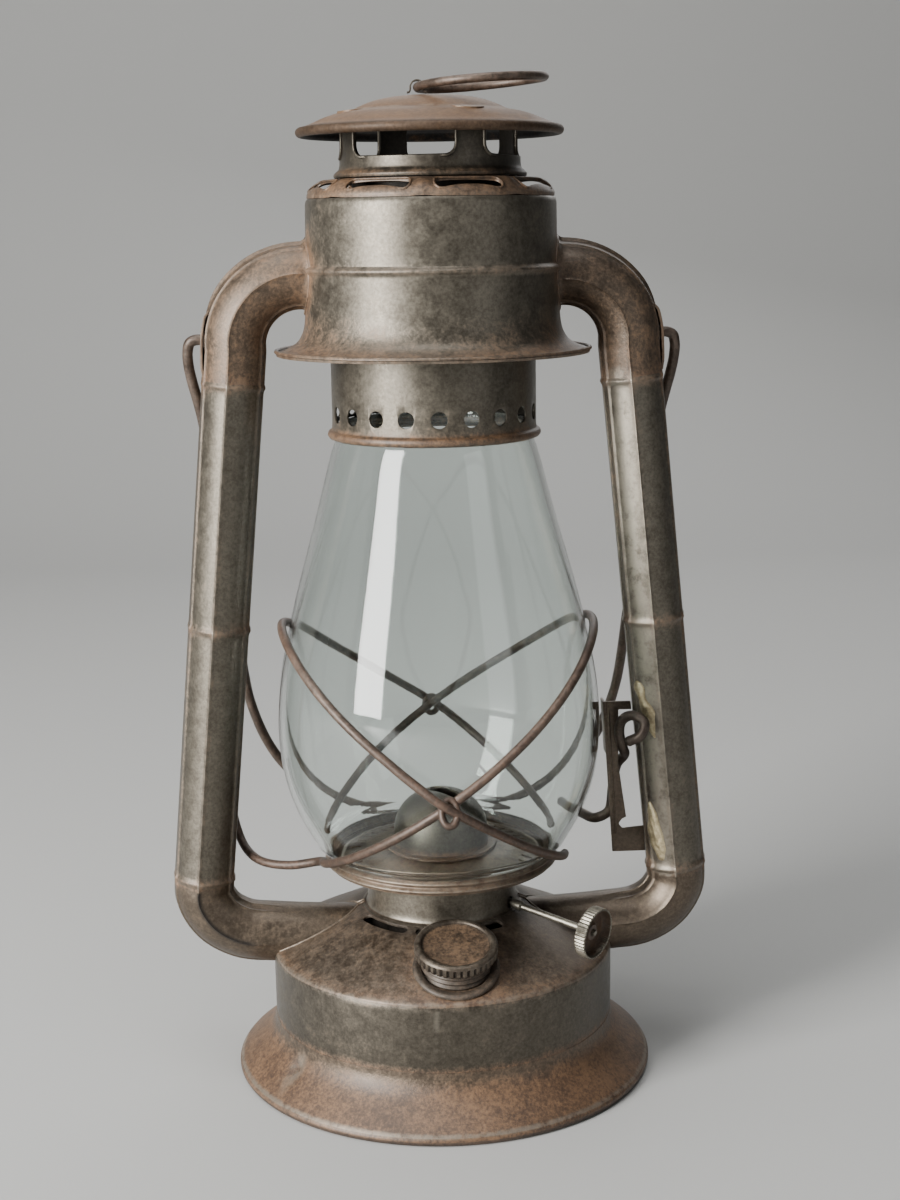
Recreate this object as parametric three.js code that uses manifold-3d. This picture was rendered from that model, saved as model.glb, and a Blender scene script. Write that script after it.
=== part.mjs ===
// Cold-blast tubular kerosene lantern, in millimetres, +Z up, front towards -Y.
// The origin is on the floor, on the lantern's vertical axis.
import * as THREE from 'three';
import { mergeVertices } from 'three/addons/utils/BufferGeometryUtils.js';
import Module from 'manifold-3d';

const wasm = await Module();
wasm.setup();

// Facets
const ROUND = 28;
const SMALL_ROUND = 16;
const TUBE_SIDES = 10;
const WIRE_SIDES = 6;

// Sheet metal and clearances
const SHEET = 0.8;
const THIN_SHEET = 0.6;
const GAP = 0.35;

// Fount and base
const BASE_RADIUS = 65.6;
const RIM_BEAD = 1.6;
const FOUNT_RADIUS = 53.5;
const SKIRT_TOP = 16;
const SHOULDER_Z = 38.7;
const DRUM_RADIUS = 23.5;
const CONE_TOP = 52.4;
const DRUM_TOP = 66.2;
const CONE_SLOPE = (CONE_TOP - SHOULDER_Z) / (FOUNT_RADIUS - DRUM_RADIUS);

// Side tubes
const TUBE_RADIUS = 10;
const TUBE_WALL = 0.8;
const TUBE_FOOT = new THREE.Vector2(74.7, 62);
const TUBE_LEAN = 0.095;
const TUBE_HEAD_Z = 216.5;
const ELBOW_RADIUS = 20;
const ELBOW_CENTRE = new THREE.Vector2(39.2, 227.5);

// Hood, chimney and canopy
const HOOD_RADIUS = 37.3;
const HOOD_TOP = 269.8;
const HOOD_RIDGE_Z = 249.3;
const HOOD_RIM_Z = 225.2;
const HOOD_RIM_RADIUS = 47.5;
const VENT_SLOTS = 8;
const VENT_SLOT_ANGLE = 34;
const VENT_SLOT_FIRST = -74;
const COLLAR_RADIUS = 30.8;
const COLLAR_FOOT = 200.5;
const COLLAR_HOLES = 20;
const COLLAR_HOLE_Z = 207.2;
const NECK_RADIUS = 26.6;
const NECK_WINDOWS = 4;
const NECK_WINDOW_ANGLE = 70;
const NECK_WINDOW_FIRST = -112;
const CANOPY_RADIUS = 39.6;
const CANOPY_RIM_Z = 289;
const CANOPY_TOP = 299.5;
const FLUE_RADIUS = 23.2;
const FLUE_FOOT = 235.5;
const SPRING_TURNS = 5;

// Lift ring
const RING_WIRE = 1.3;
const RING_RADIUS = 18.7;
const RING_EYE = new THREE.Vector3(-3.5, 0, 301.6);
const RING_PITCH = 4;

// Bail
const BAIL_WIRE = 1.6;
const BAIL_PIVOT_Z = 229.5;
const BAIL_HANG = 18;
const EAR_OFFSET = 10.6;

// Globe, guard wires and burner
const GLASS = 1.8;
const GUARD_WIRE = 1.4;
const BURNER_ANGLE = -40;
const SHAFT_OFFSET = -5;
const SHAFT_CENTRE_Z = 56.4;
const SHAFT_SLOPE = 6.1;
const SHAFT_RADIUS = 1.1;
const KNOB_DISTANCE = 54;
const KNOB_RADIUS = 8;

// Filler
const CAP_CENTRE = new THREE.Vector3(2, -38.9, 45.6);
const CAP_TILT = 16;
const CAP_RADIUS = 12.6;

const matt = (color, roughness) => new THREE.MeshStandardMaterial({ color, roughness, metalness: 0 });
const steel = (color, roughness = 0.6) => new THREE.MeshStandardMaterial({ color, roughness, metalness: 0.9 });
const PATINA = steel(0x4a4038);
const BROWN = steel(0x5b4636, 0.75);
const TAN_RUST = steel(0x7d6350, 0.85);
const WIRE_RUST = steel(0x5d4437, 0.8);
const ZINC = steel(0x8d8a7e, 0.45);
const INNER = steel(0x3a342e, 0.8);
const CLEAR = matt(0xdfe9e2, 0.05);
CLEAR.opacity = 0.3;
const COTTON = matt(0xcfc4a8, 0.95);
const CORK = matt(0x8a6b45, 0.9);

const lantern = new THREE.Group();
const radians = THREE.MathUtils.degToRad;
const v2 = (x, y) => new THREE.Vector2(x, y);
const v3 = (x, y, z) => new THREE.Vector3(x, y, z);

function piece(name, geometry, material, parent = lantern) {
  const mesh = new THREE.Mesh(geometry, material);
  mesh.name = name;
  parent.add(mesh);
  return mesh;
}

// Merges shared corners, so that the surface is closed
function weld(geometry) {
  const bare = geometry.index ? geometry : geometry.clone();
  bare.deleteAttribute('normal');
  bare.deleteAttribute('uv');
  return mergeVertices(bare, 1e-4);
}

function solid(geometry) {
  const merged = weld(geometry);
  const vertProperties = new Float32Array(merged.attributes.position.array);
  const triVerts = new Uint32Array(merged.index.array);
  return new wasm.Manifold(new wasm.Mesh({ numProp: 3, vertProperties, triVerts }));
}

function geometryOf(manifold) {
  const mesh = manifold.getMesh();
  const geometry = new THREE.BufferGeometry();
  geometry.setAttribute('position', new THREE.BufferAttribute(new Float32Array(mesh.vertProperties), 3));
  geometry.setIndex(new THREE.BufferAttribute(new Uint32Array(mesh.triVerts), 1));
  return geometry;
}

// Cuts each tool out of the body
function cut(geometry, ...tools) {
  return geometryOf(tools.reduce((left, tool) => left.subtract(solid(tool)), solid(geometry)));
}

function join(first, ...others) {
  return geometryOf(others.reduce((left, other) => left.add(solid(other)), solid(first)));
}

const areaOf = (points) => THREE.ShapeUtils.area(points);

// A closed outline of (radius, height) points turned about the Z axis
function turn(outline, segments = ROUND) {
  const points = areaOf(outline) < 0 ? [...outline].reverse() : [...outline];
  const onAxis = points.findIndex((p, i) => p.x === 0 && points[(i + 1) % points.length].x === 0);
  const ordered = onAxis < 0
    ? [...points, points[0].clone()]
    : [...points.slice(onAxis + 1), ...points.slice(0, onAxis + 1)];
  return new THREE.LatheGeometry(ordered, segments).rotateX(Math.PI / 2);
}

// The outline of a sheet of some thickness to the left of an open line
function sheet(line, thickness = SHEET) {
  const normals = line.map((p, i) => {
    const before = line[Math.max(i - 1, 0)];
    const after = line[Math.min(i + 1, line.length - 1)];
    const a = p.clone().sub(before).normalize();
    const b = after.clone().sub(p).normalize();
    const along = i === 0 ? b : i === line.length - 1 ? a : a.clone().add(b).normalize();
    const spread = i === 0 || i === line.length - 1 ? 1 : Math.max(along.dot(b), 0.5);
    return v2(-along.y, along.x).multiplyScalar(thickness / spread);
  });
  return [...line, ...line.map((p, i) => p.clone().add(normals[i])).reverse()];
}

// Points on an arc, angles in degrees from +X
function arc(x, y, radius, from, to, steps) {
  return Array.from({ length: steps + 1 }, (_, i) => {
    const angle = radians(from + ((to - from) * i) / steps);
    return v2(x + radius * Math.cos(angle), y + radius * Math.sin(angle));
  });
}

function disc(radius, sides) {
  const shape = new THREE.Shape();
  shape.setFromPoints(arc(0, 0, radius, 0, 360, sides).slice(0, -1));
  return shape;
}

function sweep(shape, curve, steps) {
  return new THREE.ExtrudeGeometry(shape, { steps, extrudePath: curve, curveSegments: 1 });
}

// A smooth line through points, sampled evenly between each two of them rather than along its length
class Route extends THREE.CatmullRomCurve3 {
  getUtoTmapping(share) {
    return share;
  }
}

const route = (points) => new Route(points, false, 'centripetal');

function wire(points, radius, perPoint, sides = WIRE_SIDES) {
  return sweep(disc(radius, sides), route(points), (points.length - 1) * perPoint);
}

function slab(points, from, to) {
  const shape = new THREE.Shape();
  shape.setFromPoints(points);
  return new THREE.ExtrudeGeometry(shape, { depth: to - from, bevelEnabled: false }).translate(0, 0, from);
}

// A sector of a ring, seen from above, with its middle at an angle from +X
function sector(inner, outer, middle, width, from, to) {
  const steps = 2;
  const outline = [
    ...arc(0, 0, outer, middle - width / 2, middle + width / 2, steps),
    ...arc(0, 0, inner, middle + width / 2, middle - width / 2, steps),
  ];
  return slab(outline, from, to);
}

const around = (count, make) => Array.from({ length: count }, (_, i) => make(i, (360 / count) * i));

// ---- Fount and base ----

function baseSkirt() {
  const flare = new THREE.QuadraticBezierCurve(
    v2(FOUNT_RADIUS, SKIRT_TOP),
    v2(FOUNT_RADIUS + 2.5, 7),
    v2(BASE_RADIUS - 0.6, 2 * RIM_BEAD),
  ).getPoints(4);
  const under = flare.map((p) => v2(p.x - SHEET, p.y - (SKIRT_TOP - p.y) * 0.05)).reverse();
  const footHeight = RIM_BEAD * Math.sin(radians(66));
  const bead = arc(BASE_RADIUS - RIM_BEAD, footHeight, RIM_BEAD, 30, -210, 5);
  return turn([...flare, ...bead, ...under]);
}

function fountBottom() {
  const lip = FOUNT_RADIUS - SHEET - GAP;
  return turn([
    v2(0, 12), v2(lip - 3, 12), v2(lip, 15), v2(lip, 20),
    v2(lip - SHEET, 20), v2(lip - SHEET, 15.3), v2(lip - 3.4, 12.8), v2(0, 12.8),
  ]);
}

function fountWall() {
  return turn([
    v2(FOUNT_RADIUS, SKIRT_TOP + GAP), v2(FOUNT_RADIUS, SHOULDER_Z - 1.1),
    v2(FOUNT_RADIUS - SHEET, SHOULDER_Z - 1.1), v2(FOUNT_RADIUS - SHEET, SKIRT_TOP + GAP),
  ]);
}

const coneLine = () => [
  v2(FOUNT_RADIUS, SHOULDER_Z - 0.5), v2(FOUNT_RADIUS - 0.8, SHOULDER_Z + 0.3), v2(DRUM_RADIUS, CONE_TOP),
  v2(14, CONE_TOP),
];

// The space inside the fount's outer faces, which the air ducts stop short of
function fountEnvelope(clearance) {
  return turn([
    v2(0, 0), v2(FOUNT_RADIUS + clearance, 0), v2(FOUNT_RADIUS + clearance, SHOULDER_Z),
    v2(DRUM_RADIUS + clearance, CONE_TOP + clearance), v2(DRUM_RADIUS + clearance, DRUM_TOP + 20),
    v2(0, DRUM_TOP + 20),
  ]);
}

function fountTop() {
  const filler = new THREE.CylinderGeometry(10.8, 10.8, 30, SMALL_ROUND)
    .rotateX(Math.PI / 2).applyMatrix4(capFrame());
  const ports = [1, -1].map((side) => slab(
    [v2(30, -6), v2(46, -6), v2(46, 6), v2(30, 6)].map((p) => v2(side * p.x, p.y)), 30, 70));
  return cut(turn(sheet(coneLine())), filler, ...ports);
}

// Closed pan under the cone that takes the air from the two ducts to the burner
function airPan() {
  const outline = (grow) => {
    const half = 9 + grow;
    const reach = 48.5 + grow;
    const round = 19 + grow;
    const corner = THREE.MathUtils.radToDeg(Math.asin(half / round));
    return [
      ...arc(0, 0, round, corner, 180 - corner, 6), v2(-reach, half), v2(-reach, -half),
      ...arc(0, 0, round, 180 + corner, 360 - corner, 6), v2(reach, -half), v2(reach, half),
    ];
  };
  const drop = GAP + 0.6;
  const lid = turn([
    v2(0, 80), v2(70, 80), v2(70, SHOULDER_Z - SHEET - 8),
    v2(FOUNT_RADIUS, SHOULDER_Z - SHEET - drop), v2(DRUM_RADIUS, CONE_TOP - SHEET - drop),
    v2(0, CONE_TOP - SHEET - drop),
  ]);
  const pan = slab(outline(THIN_SHEET), 34, 70);
  const hollow = slab(outline(0), 34 + THIN_SHEET, 71);
  const centre = new THREE.CylinderGeometry(12, 12, 20, SMALL_ROUND).rotateX(Math.PI / 2).translate(0, 0, 34);
  return cut(pan, hollow, lid, centre);
}

function airDrum() {
  const wall = turn([
    v2(DRUM_RADIUS, CONE_TOP + GAP), v2(DRUM_RADIUS, DRUM_TOP),
    v2(DRUM_RADIUS - SHEET, DRUM_TOP), v2(DRUM_RADIUS - SHEET, CONE_TOP + GAP),
  ]);
  const shaftHole = alongShaft(new THREE.CylinderGeometry(1.9, 1.9, 10, 8).rotateX(Math.PI / 2), 22);
  return cut(wall, shaftHole);
}

// ---- Side tubes: the left one is the right one turned half round ----

const tubeCentre = (z) => v3(TUBE_FOOT.x - TUBE_LEAN * (z - TUBE_FOOT.y), 0, z);

function hollowTube(curve, steps, radius = TUBE_RADIUS, sides = TUBE_SIDES) {
  const ring = disc(radius, sides);
  ring.holes.push(new THREE.Path(arc(0, 0, radius - TUBE_WALL, 360, 0, sides).slice(0, -1)));
  return sweep(ring, curve, steps);
}

function straightTube() {
  const path = new THREE.LineCurve3(tubeCentre(TUBE_FOOT.y + GAP), tubeCentre(TUBE_HEAD_Z - GAP));
  return hollowTube(path, 1);
}

function upperElbow() {
  const lean = THREE.MathUtils.radToDeg(Math.atan(TUBE_LEAN));
  const bend = arc(ELBOW_CENTRE.x, ELBOW_CENTRE.y, ELBOW_RADIUS, lean, 90, 6).map((p) => v3(p.x, 0, p.y));
  const inner = v3(HOOD_RADIUS - 4, 0, ELBOW_CENTRE.y + ELBOW_RADIUS);
  const curve = route([tubeCentre(TUBE_HEAD_Z), tubeCentre(TUBE_HEAD_Z + 1), ...bend, inner]);
  const hood = new THREE.CylinderGeometry(HOOD_RADIUS + 1.6 + GAP, HOOD_RADIUS + 1.6 + GAP, 60, ROUND)
    .rotateX(Math.PI / 2).translate(0, 0, HOOD_RIDGE_Z);
  return cut(hollowTube(curve, 9, TUBE_RADIUS + 0.2), hood, bailHole(BAIL_WIRE + 0.9));
}

function lowerElbow() {
  const curve = route([
    tubeCentre(TUBE_FOOT.y), tubeCentre(TUBE_FOOT.y - 1), v3(74.8, 0, 56), v3(70.6, 0, 49.2),
    v3(63.5, 0, 44.8), v3(54, 0, 43.2), v3(42, 0, 42.2), v3(28, 0, 41.6),
  ]);
  return cut(hollowTube(curve, 14), fountEnvelope(GAP));
}

function sideTubes() {
  [['right', 0], ['left', Math.PI]].forEach(([side, turned]) => {
    const group = new THREE.Group();
    group.rotation.z = turned;
    lantern.add(group);
    piece(`${side}_lower_elbow`, lowerElbow(), BROWN, group);
    piece(`${side}_tube`, straightTube(), PATINA, group);
    piece(`${side}_upper_elbow`, upperElbow(), BROWN, group);
    piece(`${side}_bail_ear`, bailEar(), BROWN, group);
  });
}

// A strap that follows the outside of the upper elbow, with a hole along X for the bail's end
function bailEar() {
  const outside = [
    ...[221, 223, 225].map((z) => v2(tubeCentre(z).x + EAR_OFFSET, z)),
    ...arc(ELBOW_CENTRE.x, ELBOW_CENTRE.y, ELBOW_RADIUS + EAR_OFFSET, 2, 17, 4),
  ];
  const strap = slab(sheet(outside.reverse()), -4, 4).rotateX(Math.PI / 2);
  return cut(strap, bailHole(BAIL_WIRE + 0.7));
}

function bailHole(radius) {
  return new THREE.CylinderGeometry(radius, radius, 8, 12)
    .rotateZ(Math.PI / 2).translate(ELBOW_CENTRE.x + ELBOW_RADIUS + TUBE_RADIUS, 0, BAIL_PIVOT_Z);
}

// ---- Hood ----

function hood() {
  const line = [
    v2(HOOD_RADIUS - 0.1, HOOD_TOP), v2(HOOD_RADIUS, HOOD_RIDGE_Z + 1.4), v2(HOOD_RADIUS + 1.5, HOOD_RIDGE_Z),
    v2(HOOD_RADIUS + 0.7, HOOD_RIDGE_Z - 1.4), v2(HOOD_RADIUS + 0.7, 229.6), v2(HOOD_RADIUS + 1.8, 227.4),
    v2(HOOD_RIM_RADIUS - 1, 226), v2(HOOD_RIM_RADIUS, HOOD_RIM_Z),
  ].reverse();
  const ports = new THREE.CylinderGeometry(8.6, 8.6, 120, 12)
    .rotateZ(Math.PI / 2).translate(0, 0, ELBOW_CENTRE.y + ELBOW_RADIUS);
  return cut(turn(sheet(line)), ports);
}

function ventRing() {
  const line = [
    v2(HOOD_RADIUS, HOOD_TOP + GAP + 0.6), v2(36, 271.8), v2(34, 273.4), v2(30.5, 275), v2(24.4, 275.2),
  ];
  const slots = around(VENT_SLOTS, (i, turned) =>
    sector(31.4, 36.1, VENT_SLOT_FIRST + turned, VENT_SLOT_ANGLE, 262, 280));
  return cut(turn(sheet(line)), ...slots);
}

// ---- Chimney ----

function perforatedCollar() {
  const line = [
    v2(COLLAR_RADIUS, COLLAR_FOOT - 1.1), v2(COLLAR_RADIUS + 1.2, COLLAR_FOOT - 0.6),
    v2(COLLAR_RADIUS + 1.4, COLLAR_FOOT + 0.4), v2(COLLAR_RADIUS, COLLAR_FOOT + 1.6), v2(COLLAR_RADIUS, 231),
    v2(COLLAR_RADIUS - 1, 232.2), v2(FLUE_RADIUS + 2.5, 232.6),
  ];
  const hole = new THREE.CylinderGeometry(2.5, 2.5, 8, 6).rotateZ(Math.PI / 2);
  const holes = around(COLLAR_HOLES, (i, turned) =>
    hole.clone().translate(COLLAR_RADIUS, 0, COLLAR_HOLE_Z).rotateZ(radians(turned - 90)));
  return cut(turn(sheet(line, THIN_SHEET), COLLAR_HOLES), ...holes);
}

function flue() {
  const line = [
    v2(FLUE_RADIUS + 5, FLUE_FOOT - 2.3), v2(FLUE_RADIUS, FLUE_FOOT + 1), v2(FLUE_RADIUS, 277),
    v2(NECK_RADIUS - SHEET - 0.5, 278.4), v2(NECK_RADIUS - SHEET - 0.5, 280),
  ];
  return turn(sheet(line, THIN_SHEET));
}

function neck() {
  const line = [
    v2(28.2, 275.9), v2(28.2, 276.9), v2(NECK_RADIUS + 0.5, 277.8), v2(NECK_RADIUS, 280),
    v2(NECK_RADIUS, 292.4),
  ];
  const windows = around(NECK_WINDOWS, (i, turned) =>
    sector(20, 34, NECK_WINDOW_FIRST + turned, NECK_WINDOW_ANGLE, 281.5, 289.4));
  return cut(turn(sheet(line)), ...windows);
}

function canopy() {
  const bead = arc(CANOPY_RADIUS - 1.4, CANOPY_RIM_Z, 1.4, 60, -180, 4);
  const top = [
    v2(0, CANOPY_TOP), v2(5, CANOPY_TOP - 0.1), v2(13, 298.2), v2(22.8, 295.5), v2(27, 294.2), v2(31, 292.2),
    v2(36, 290.9),
  ];
  const under = [
    v2(35.6, 290), v2(30.7, 291.3), v2(26.8, 293.3), v2(22.6, 294.6), v2(13, 297.3), v2(5, CANOPY_TOP - 0.9),
    v2(0, CANOPY_TOP - 0.8),
  ];
  return turn([...top, ...bead, ...under]);
}

function ringEye() {
  const inner = RING_WIRE + 0.45;
  const outer = inner + 0.8;
  const foot = CANOPY_TOP + GAP;
  const outline = [
    v2(-outer - 1.4, foot), v2(-inner, foot), v2(-inner, RING_EYE.z), ...arc(0, RING_EYE.z, inner, 180, 0, 6),
    v2(inner, foot), v2(outer + 1.4, foot), v2(outer + 1.4, foot + 0.7), v2(outer, foot + 0.7),
    ...arc(0, RING_EYE.z, outer, 0, 180, 8), v2(-outer, foot + 0.7), v2(-outer - 1.4, foot + 0.7),
  ];
  return slab(outline, -2.2, 2.2).rotateX(Math.PI / 2).translate(RING_EYE.x, 0, 0);
}

function chimneySpring() {
  const radius = 26.6;
  const from = FLUE_FOOT + 3;
  const to = 272.8;
  const steps = 50;
  const points = Array.from({ length: steps + 1 }, (_, i) => {
    const angle = (SPRING_TURNS * 2 * Math.PI * i) / steps;
    return v3(radius * Math.cos(angle), radius * Math.sin(angle), from + ((to - from) * i) / steps);
  });
  return wire(points, 0.7, 1, 4);
}

// ---- Lift ring and bail ----

function liftRing() {
  const ring = new THREE.TorusGeometry(RING_RADIUS, RING_WIRE, 6, 28).translate(RING_RADIUS, 0, 0);
  return weld(ring.rotateY(radians(-RING_PITCH)).translate(RING_EYE.x, RING_EYE.y, RING_EYE.z));
}

function bail() {
  const half = [
    [67.2, 0], [70.8, 0], [72.5, -0.9], [73.3, -3.6], [73.3, -8], [72.6, -13], [71.4, -19], [69.9, -28],
    [66.7, -60], [63.6, -96], [60.2, -129], [52, -150.5], [38, -166], [20, -173.5],
  ];
  const points = [...half, [0, -175.5], ...half.map(([x, z]) => [-x, z]).reverse()];
  const geometry = wire(points.map(([x, z]) => v3(x, 0, z)), BAIL_WIRE, 2);
  return geometry.rotateX(radians(BAIL_HANG)).translate(0, 0, BAIL_PIVOT_Z);
}

// ---- Globe, its plate and the guard ----

const PLATE_RADIUS = 36.6;

const globeLine = () => [
  v2(35, 67.4), v2(35, 70.6), v2(39.2, 73), v2(44.7, 83.3), v2(48.5, 95), v2(49.9, 109), v2(48.9, 125),
  v2(44.9, 145), v2(36.2, 176.8), v2(31.1, 195.8), v2(29.5, 199), v2(29.3, 204.5),
];

function globe() {
  return turn(sheet(globeLine(), GLASS));
}

// Outer radius of the glass at a height
function glassRadius(z) {
  const line = globeLine();
  const i = Math.max(1, line.findIndex((p) => p.y >= z));
  const share = (z - line[i - 1].y) / (line[i].y - line[i - 1].y);
  return line[i - 1].x + share * (line[i].x - line[i - 1].x);
}

function globePlate() {
  const rim = PLATE_RADIUS - 0.5;
  return turn([
    v2(15.6, 69.4), v2(31.2, 67), v2(32.6, 65.7), v2(rim, 65.7), v2(PLATE_RADIUS, 66.8), v2(rim, 68),
    v2(PLATE_RADIUS, 69.3), v2(rim, 70.6), v2(rim - THIN_SHEET, 70.6), v2(rim - THIN_SHEET, 66.3),
    v2(33, 66.3), v2(31.6, 67.7), v2(15.6, 70.1),
  ]);
}

function burnerCone() {
  const crown = Array.from({ length: 6 }, (_, i) => {
    const angle = (Math.PI / 2) * (i / 5);
    return v2(14.9 * Math.cos(angle), 74 + 14 * Math.sin(angle));
  });
  crown[5].x = 0;
  const inside = crown.map((p) => v2(Math.max(p.x - 0.7, 0), p.y - 0.7 * ((p.y - 74) / 14))).reverse();
  const skirt = [v2(14.2, 64), v2(14.9, 64), v2(14.9, 70.6), v2(17.6, 70.45), v2(17.6, 71), v2(14.9, 71.3)];
  const slot = slab([v2(-8.2, -2.4), v2(8.2, -2.4), v2(8.2, 2.4), v2(-8.2, 2.4)], 80, 92)
    .rotateZ(radians(BURNER_ANGLE));
  return cut(turn([...skirt, ...crown, ...inside], SMALL_ROUND), slot);
}

const bell = (x) => Math.exp(-(x ** 2));

// One loop of the guard: high at one side of the globe, low at the other
function guardLoop(mirror, outside) {
  const first = -160;
  const last = 164;
  const steps = 18;
  return Array.from({ length: steps + 1 }, (_, i) => {
    const angle = radians(first + ((last - first) * i) / steps);
    const atBack = 4.5 * bell((angle - Math.PI / 2) / 0.7);
    const z = 102 + 36.5 * Math.cos(angle) + 3.5 * Math.cos(2 * angle) + atBack;
    const bulge = 3.2 * outside * bell((Math.abs(angle) - Math.PI / 2) / 0.2);
    const widest = Math.max(PLATE_RADIUS, ...[-1.8, 0, 1.8].map((step) => glassRadius(z + step)));
    const radius = widest + GUARD_WIRE + 0.6 + bulge;
    return v3(mirror * radius * Math.cos(angle), radius * Math.sin(angle), z);
  });
}

function guardWireA() {
  const guide = [
    v3(-66, 14.5, 92), v3(-66.6, 13.8, 84), v3(-65.2, 11, 76), v3(-62.6, 6.5, 70), v3(-59, 1, 67.4),
    v3(-54.5, -3.6, 66.8), v3(-47, -8, 67.4),
  ];
  return wire([...guide, ...guardLoop(1, 0)], GUARD_WIRE, 2);
}

function guardWireB() {
  return wire(guardLoop(-1, 1), GUARD_WIRE, 2);
}

function liftRod() {
  return wire([
    v3(43.5, 24, 74), v3(46.5, 12, 74.8), v3(50, 4.6, 75.6), v3(53.8, 3.2, 78.2), v3(55, 3, 86),
    v3(56.2, 2.9, 93.5), v3(58.3, 0, 97.6), v3(57.2, -3.6, 101), v3(56, -4.4, 106), v3(56.6, -6.2, 110.4),
    v3(59.4, -9, 112.6), v3(62.6, -12, 111), v3(61.6, -13.2, 107.6), v3(57.8, -11.6, 105),
  ], BAIL_WIRE, 2);
}

// Folded strip on the right tube that guides the rod and holds it up when the globe is raised
function liftBracket() {
  const tubeSide = (z) => tubeCentre(z).x - TUBE_RADIUS - GAP;
  const outline = [
    v2(54.4, 66), v2(tubeSide(67) + 0.2, 66), v2(tubeSide(74), 74.3), v2(57.4, 73.6), v2(56.4, 75.2),
    v2(57.4, 76.6), v2(58.8, 77.4), v2(56.2, 95), v2(56.2, 112.5), v2(tubeSide(112) - 0.2, 112.5),
    v2(tubeSide(115) - 0.2, 115.2), v2(51.2, 115.2),
  ];
  const edge = [v2(52.3, 98), v2(52.3 + SHEET, 98), v2(51.2 + SHEET, 115.2), v2(51.2, 115.2)];
  const plate = slab(outline, 0, SHEET).rotateX(Math.PI / 2).translate(0, -SHEET / 2, 0);
  const flange = slab(edge, -4.6, 1.4).rotateX(Math.PI / 2);
  return join(plate, flange);
}

// ---- Burner inside the drum ----

const shaftFrame = () => {
  const angle = radians(BURNER_ANGLE);
  const slope = radians(SHAFT_SLOPE);
  const along = v3(Math.cos(angle) * Math.cos(slope), Math.sin(angle) * Math.cos(slope), -Math.sin(slope));
  const aside = v3(Math.sin(angle), -Math.cos(angle), 0);
  const start = aside.clone().multiplyScalar(SHAFT_OFFSET).setZ(SHAFT_CENTRE_Z);
  return new THREE.Matrix4().makeBasis(aside, along.clone().cross(aside), along).setPosition(start);
};

// Places a shape made about the Z axis at a distance along the wick shaft
const alongShaft = (geometry, distance) => geometry.translate(0, 0, distance).applyMatrix4(shaftFrame());

function rod(radius, length, sides) {
  return new THREE.CylinderGeometry(radius, radius, length, sides).rotateX(Math.PI / 2);
}

function spurWheel(distance) {
  return alongShaft(cut(rod(3.6, 1.2, 12), rod(SHAFT_RADIUS + GAP, 4, 12)), distance);
}

function wickKnob() {
  const cup = turn([
    v2(SHAFT_RADIUS + GAP, -2), v2(KNOB_RADIUS - 1, -2), v2(KNOB_RADIUS, -1.4), v2(KNOB_RADIUS, 2),
    v2(KNOB_RADIUS - 1.6, 2), v2(KNOB_RADIUS - 1.8, -0.8), v2(SHAFT_RADIUS + GAP, -0.8),
  ], SMALL_ROUND);
  return alongShaft(cup, KNOB_DISTANCE);
}

function flatTube(width, thickness, wall, from, to) {
  const outline = (grow) => [
    ...arc(width / 2 - thickness / 2, 0, thickness / 2 + grow, -90, 90, 4),
    ...arc(thickness / 2 - width / 2, 0, thickness / 2 + grow, 90, 270, 4),
  ];
  const shape = new THREE.Shape();
  shape.setFromPoints(outline(wall));
  if (wall > 0) shape.holes.push(new THREE.Path(outline(0).reverse()));
  return new THREE.ExtrudeGeometry(shape, { depth: to - from, bevelEnabled: false })
    .translate(0, 0, from).rotateZ(radians(BURNER_ANGLE));
}

function wickTube() {
  const window = (distance) => alongShaft(rod(3.6 + GAP, 1.2 + 2 * GAP, 12), distance);
  return cut(flatTube(16, 3.2, THIN_SHEET, 44, 80.5), window(-3.4), window(3.4));
}

function burnerBody() {
  return turn([
    v2(11.2, 42), v2(11.2, 48.6), v2(13.4, 50.4), v2(13.4, 51.1), v2(10.8, 51.1), v2(10.4, 49.8),
    v2(10.4, 42),
  ], SMALL_ROUND);
}

// ---- Filler ----

function capFrame() {
  return new THREE.Matrix4().makeRotationX(radians(CAP_TILT)).setPosition(CAP_CENTRE);
}

// The frame that lies on the front of the cone at a distance from the axis
function onCone(x, radius) {
  const z = SHOULDER_Z + (FOUNT_RADIUS - radius) * CONE_SLOPE;
  return new THREE.Matrix4().makeRotationX(Math.atan(CONE_SLOPE)).setPosition(x, -radius, z);
}

// Threaded neck through the cone, with a flange that lies along the cone
function fillerNeck() {
  const flange = turn([v2(9.6, 0.6), v2(13, 0.6), v2(13, 1.3), v2(9.6, 1.3)], SMALL_ROUND)
    .applyMatrix4(onCone(CAP_CENTRE.x, 40.2));
  const tube = turn([v2(9.4, -5), v2(10.4, -5), v2(10.4, 4.6), v2(9.4, 4.6)], SMALL_ROUND)
    .applyMatrix4(capFrame());
  return cut(join(flange, tube), rod(9.39, 30, SMALL_ROUND).applyMatrix4(capFrame()));
}

function fillerCap() {
  return turn([
    v2(0, 6.9), v2(CAP_RADIUS - 2.6, 6.9), v2(CAP_RADIUS - 1.6, 7.6), v2(CAP_RADIUS - 0.5, 7.6),
    v2(CAP_RADIUS, 7), v2(CAP_RADIUS, 4.3), v2(12, 3.7), v2(11.1, 3.7), v2(11.1, 6.1), v2(0, 6.1),
  ], SMALL_ROUND).applyMatrix4(capFrame());
}

function fillerGasket() {
  return turn([v2(0, 4.95), v2(10.6, 4.95), v2(10.6, 5.8), v2(0, 5.8)], SMALL_ROUND).applyMatrix4(capFrame());
}

// ---- The lantern ----

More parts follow.
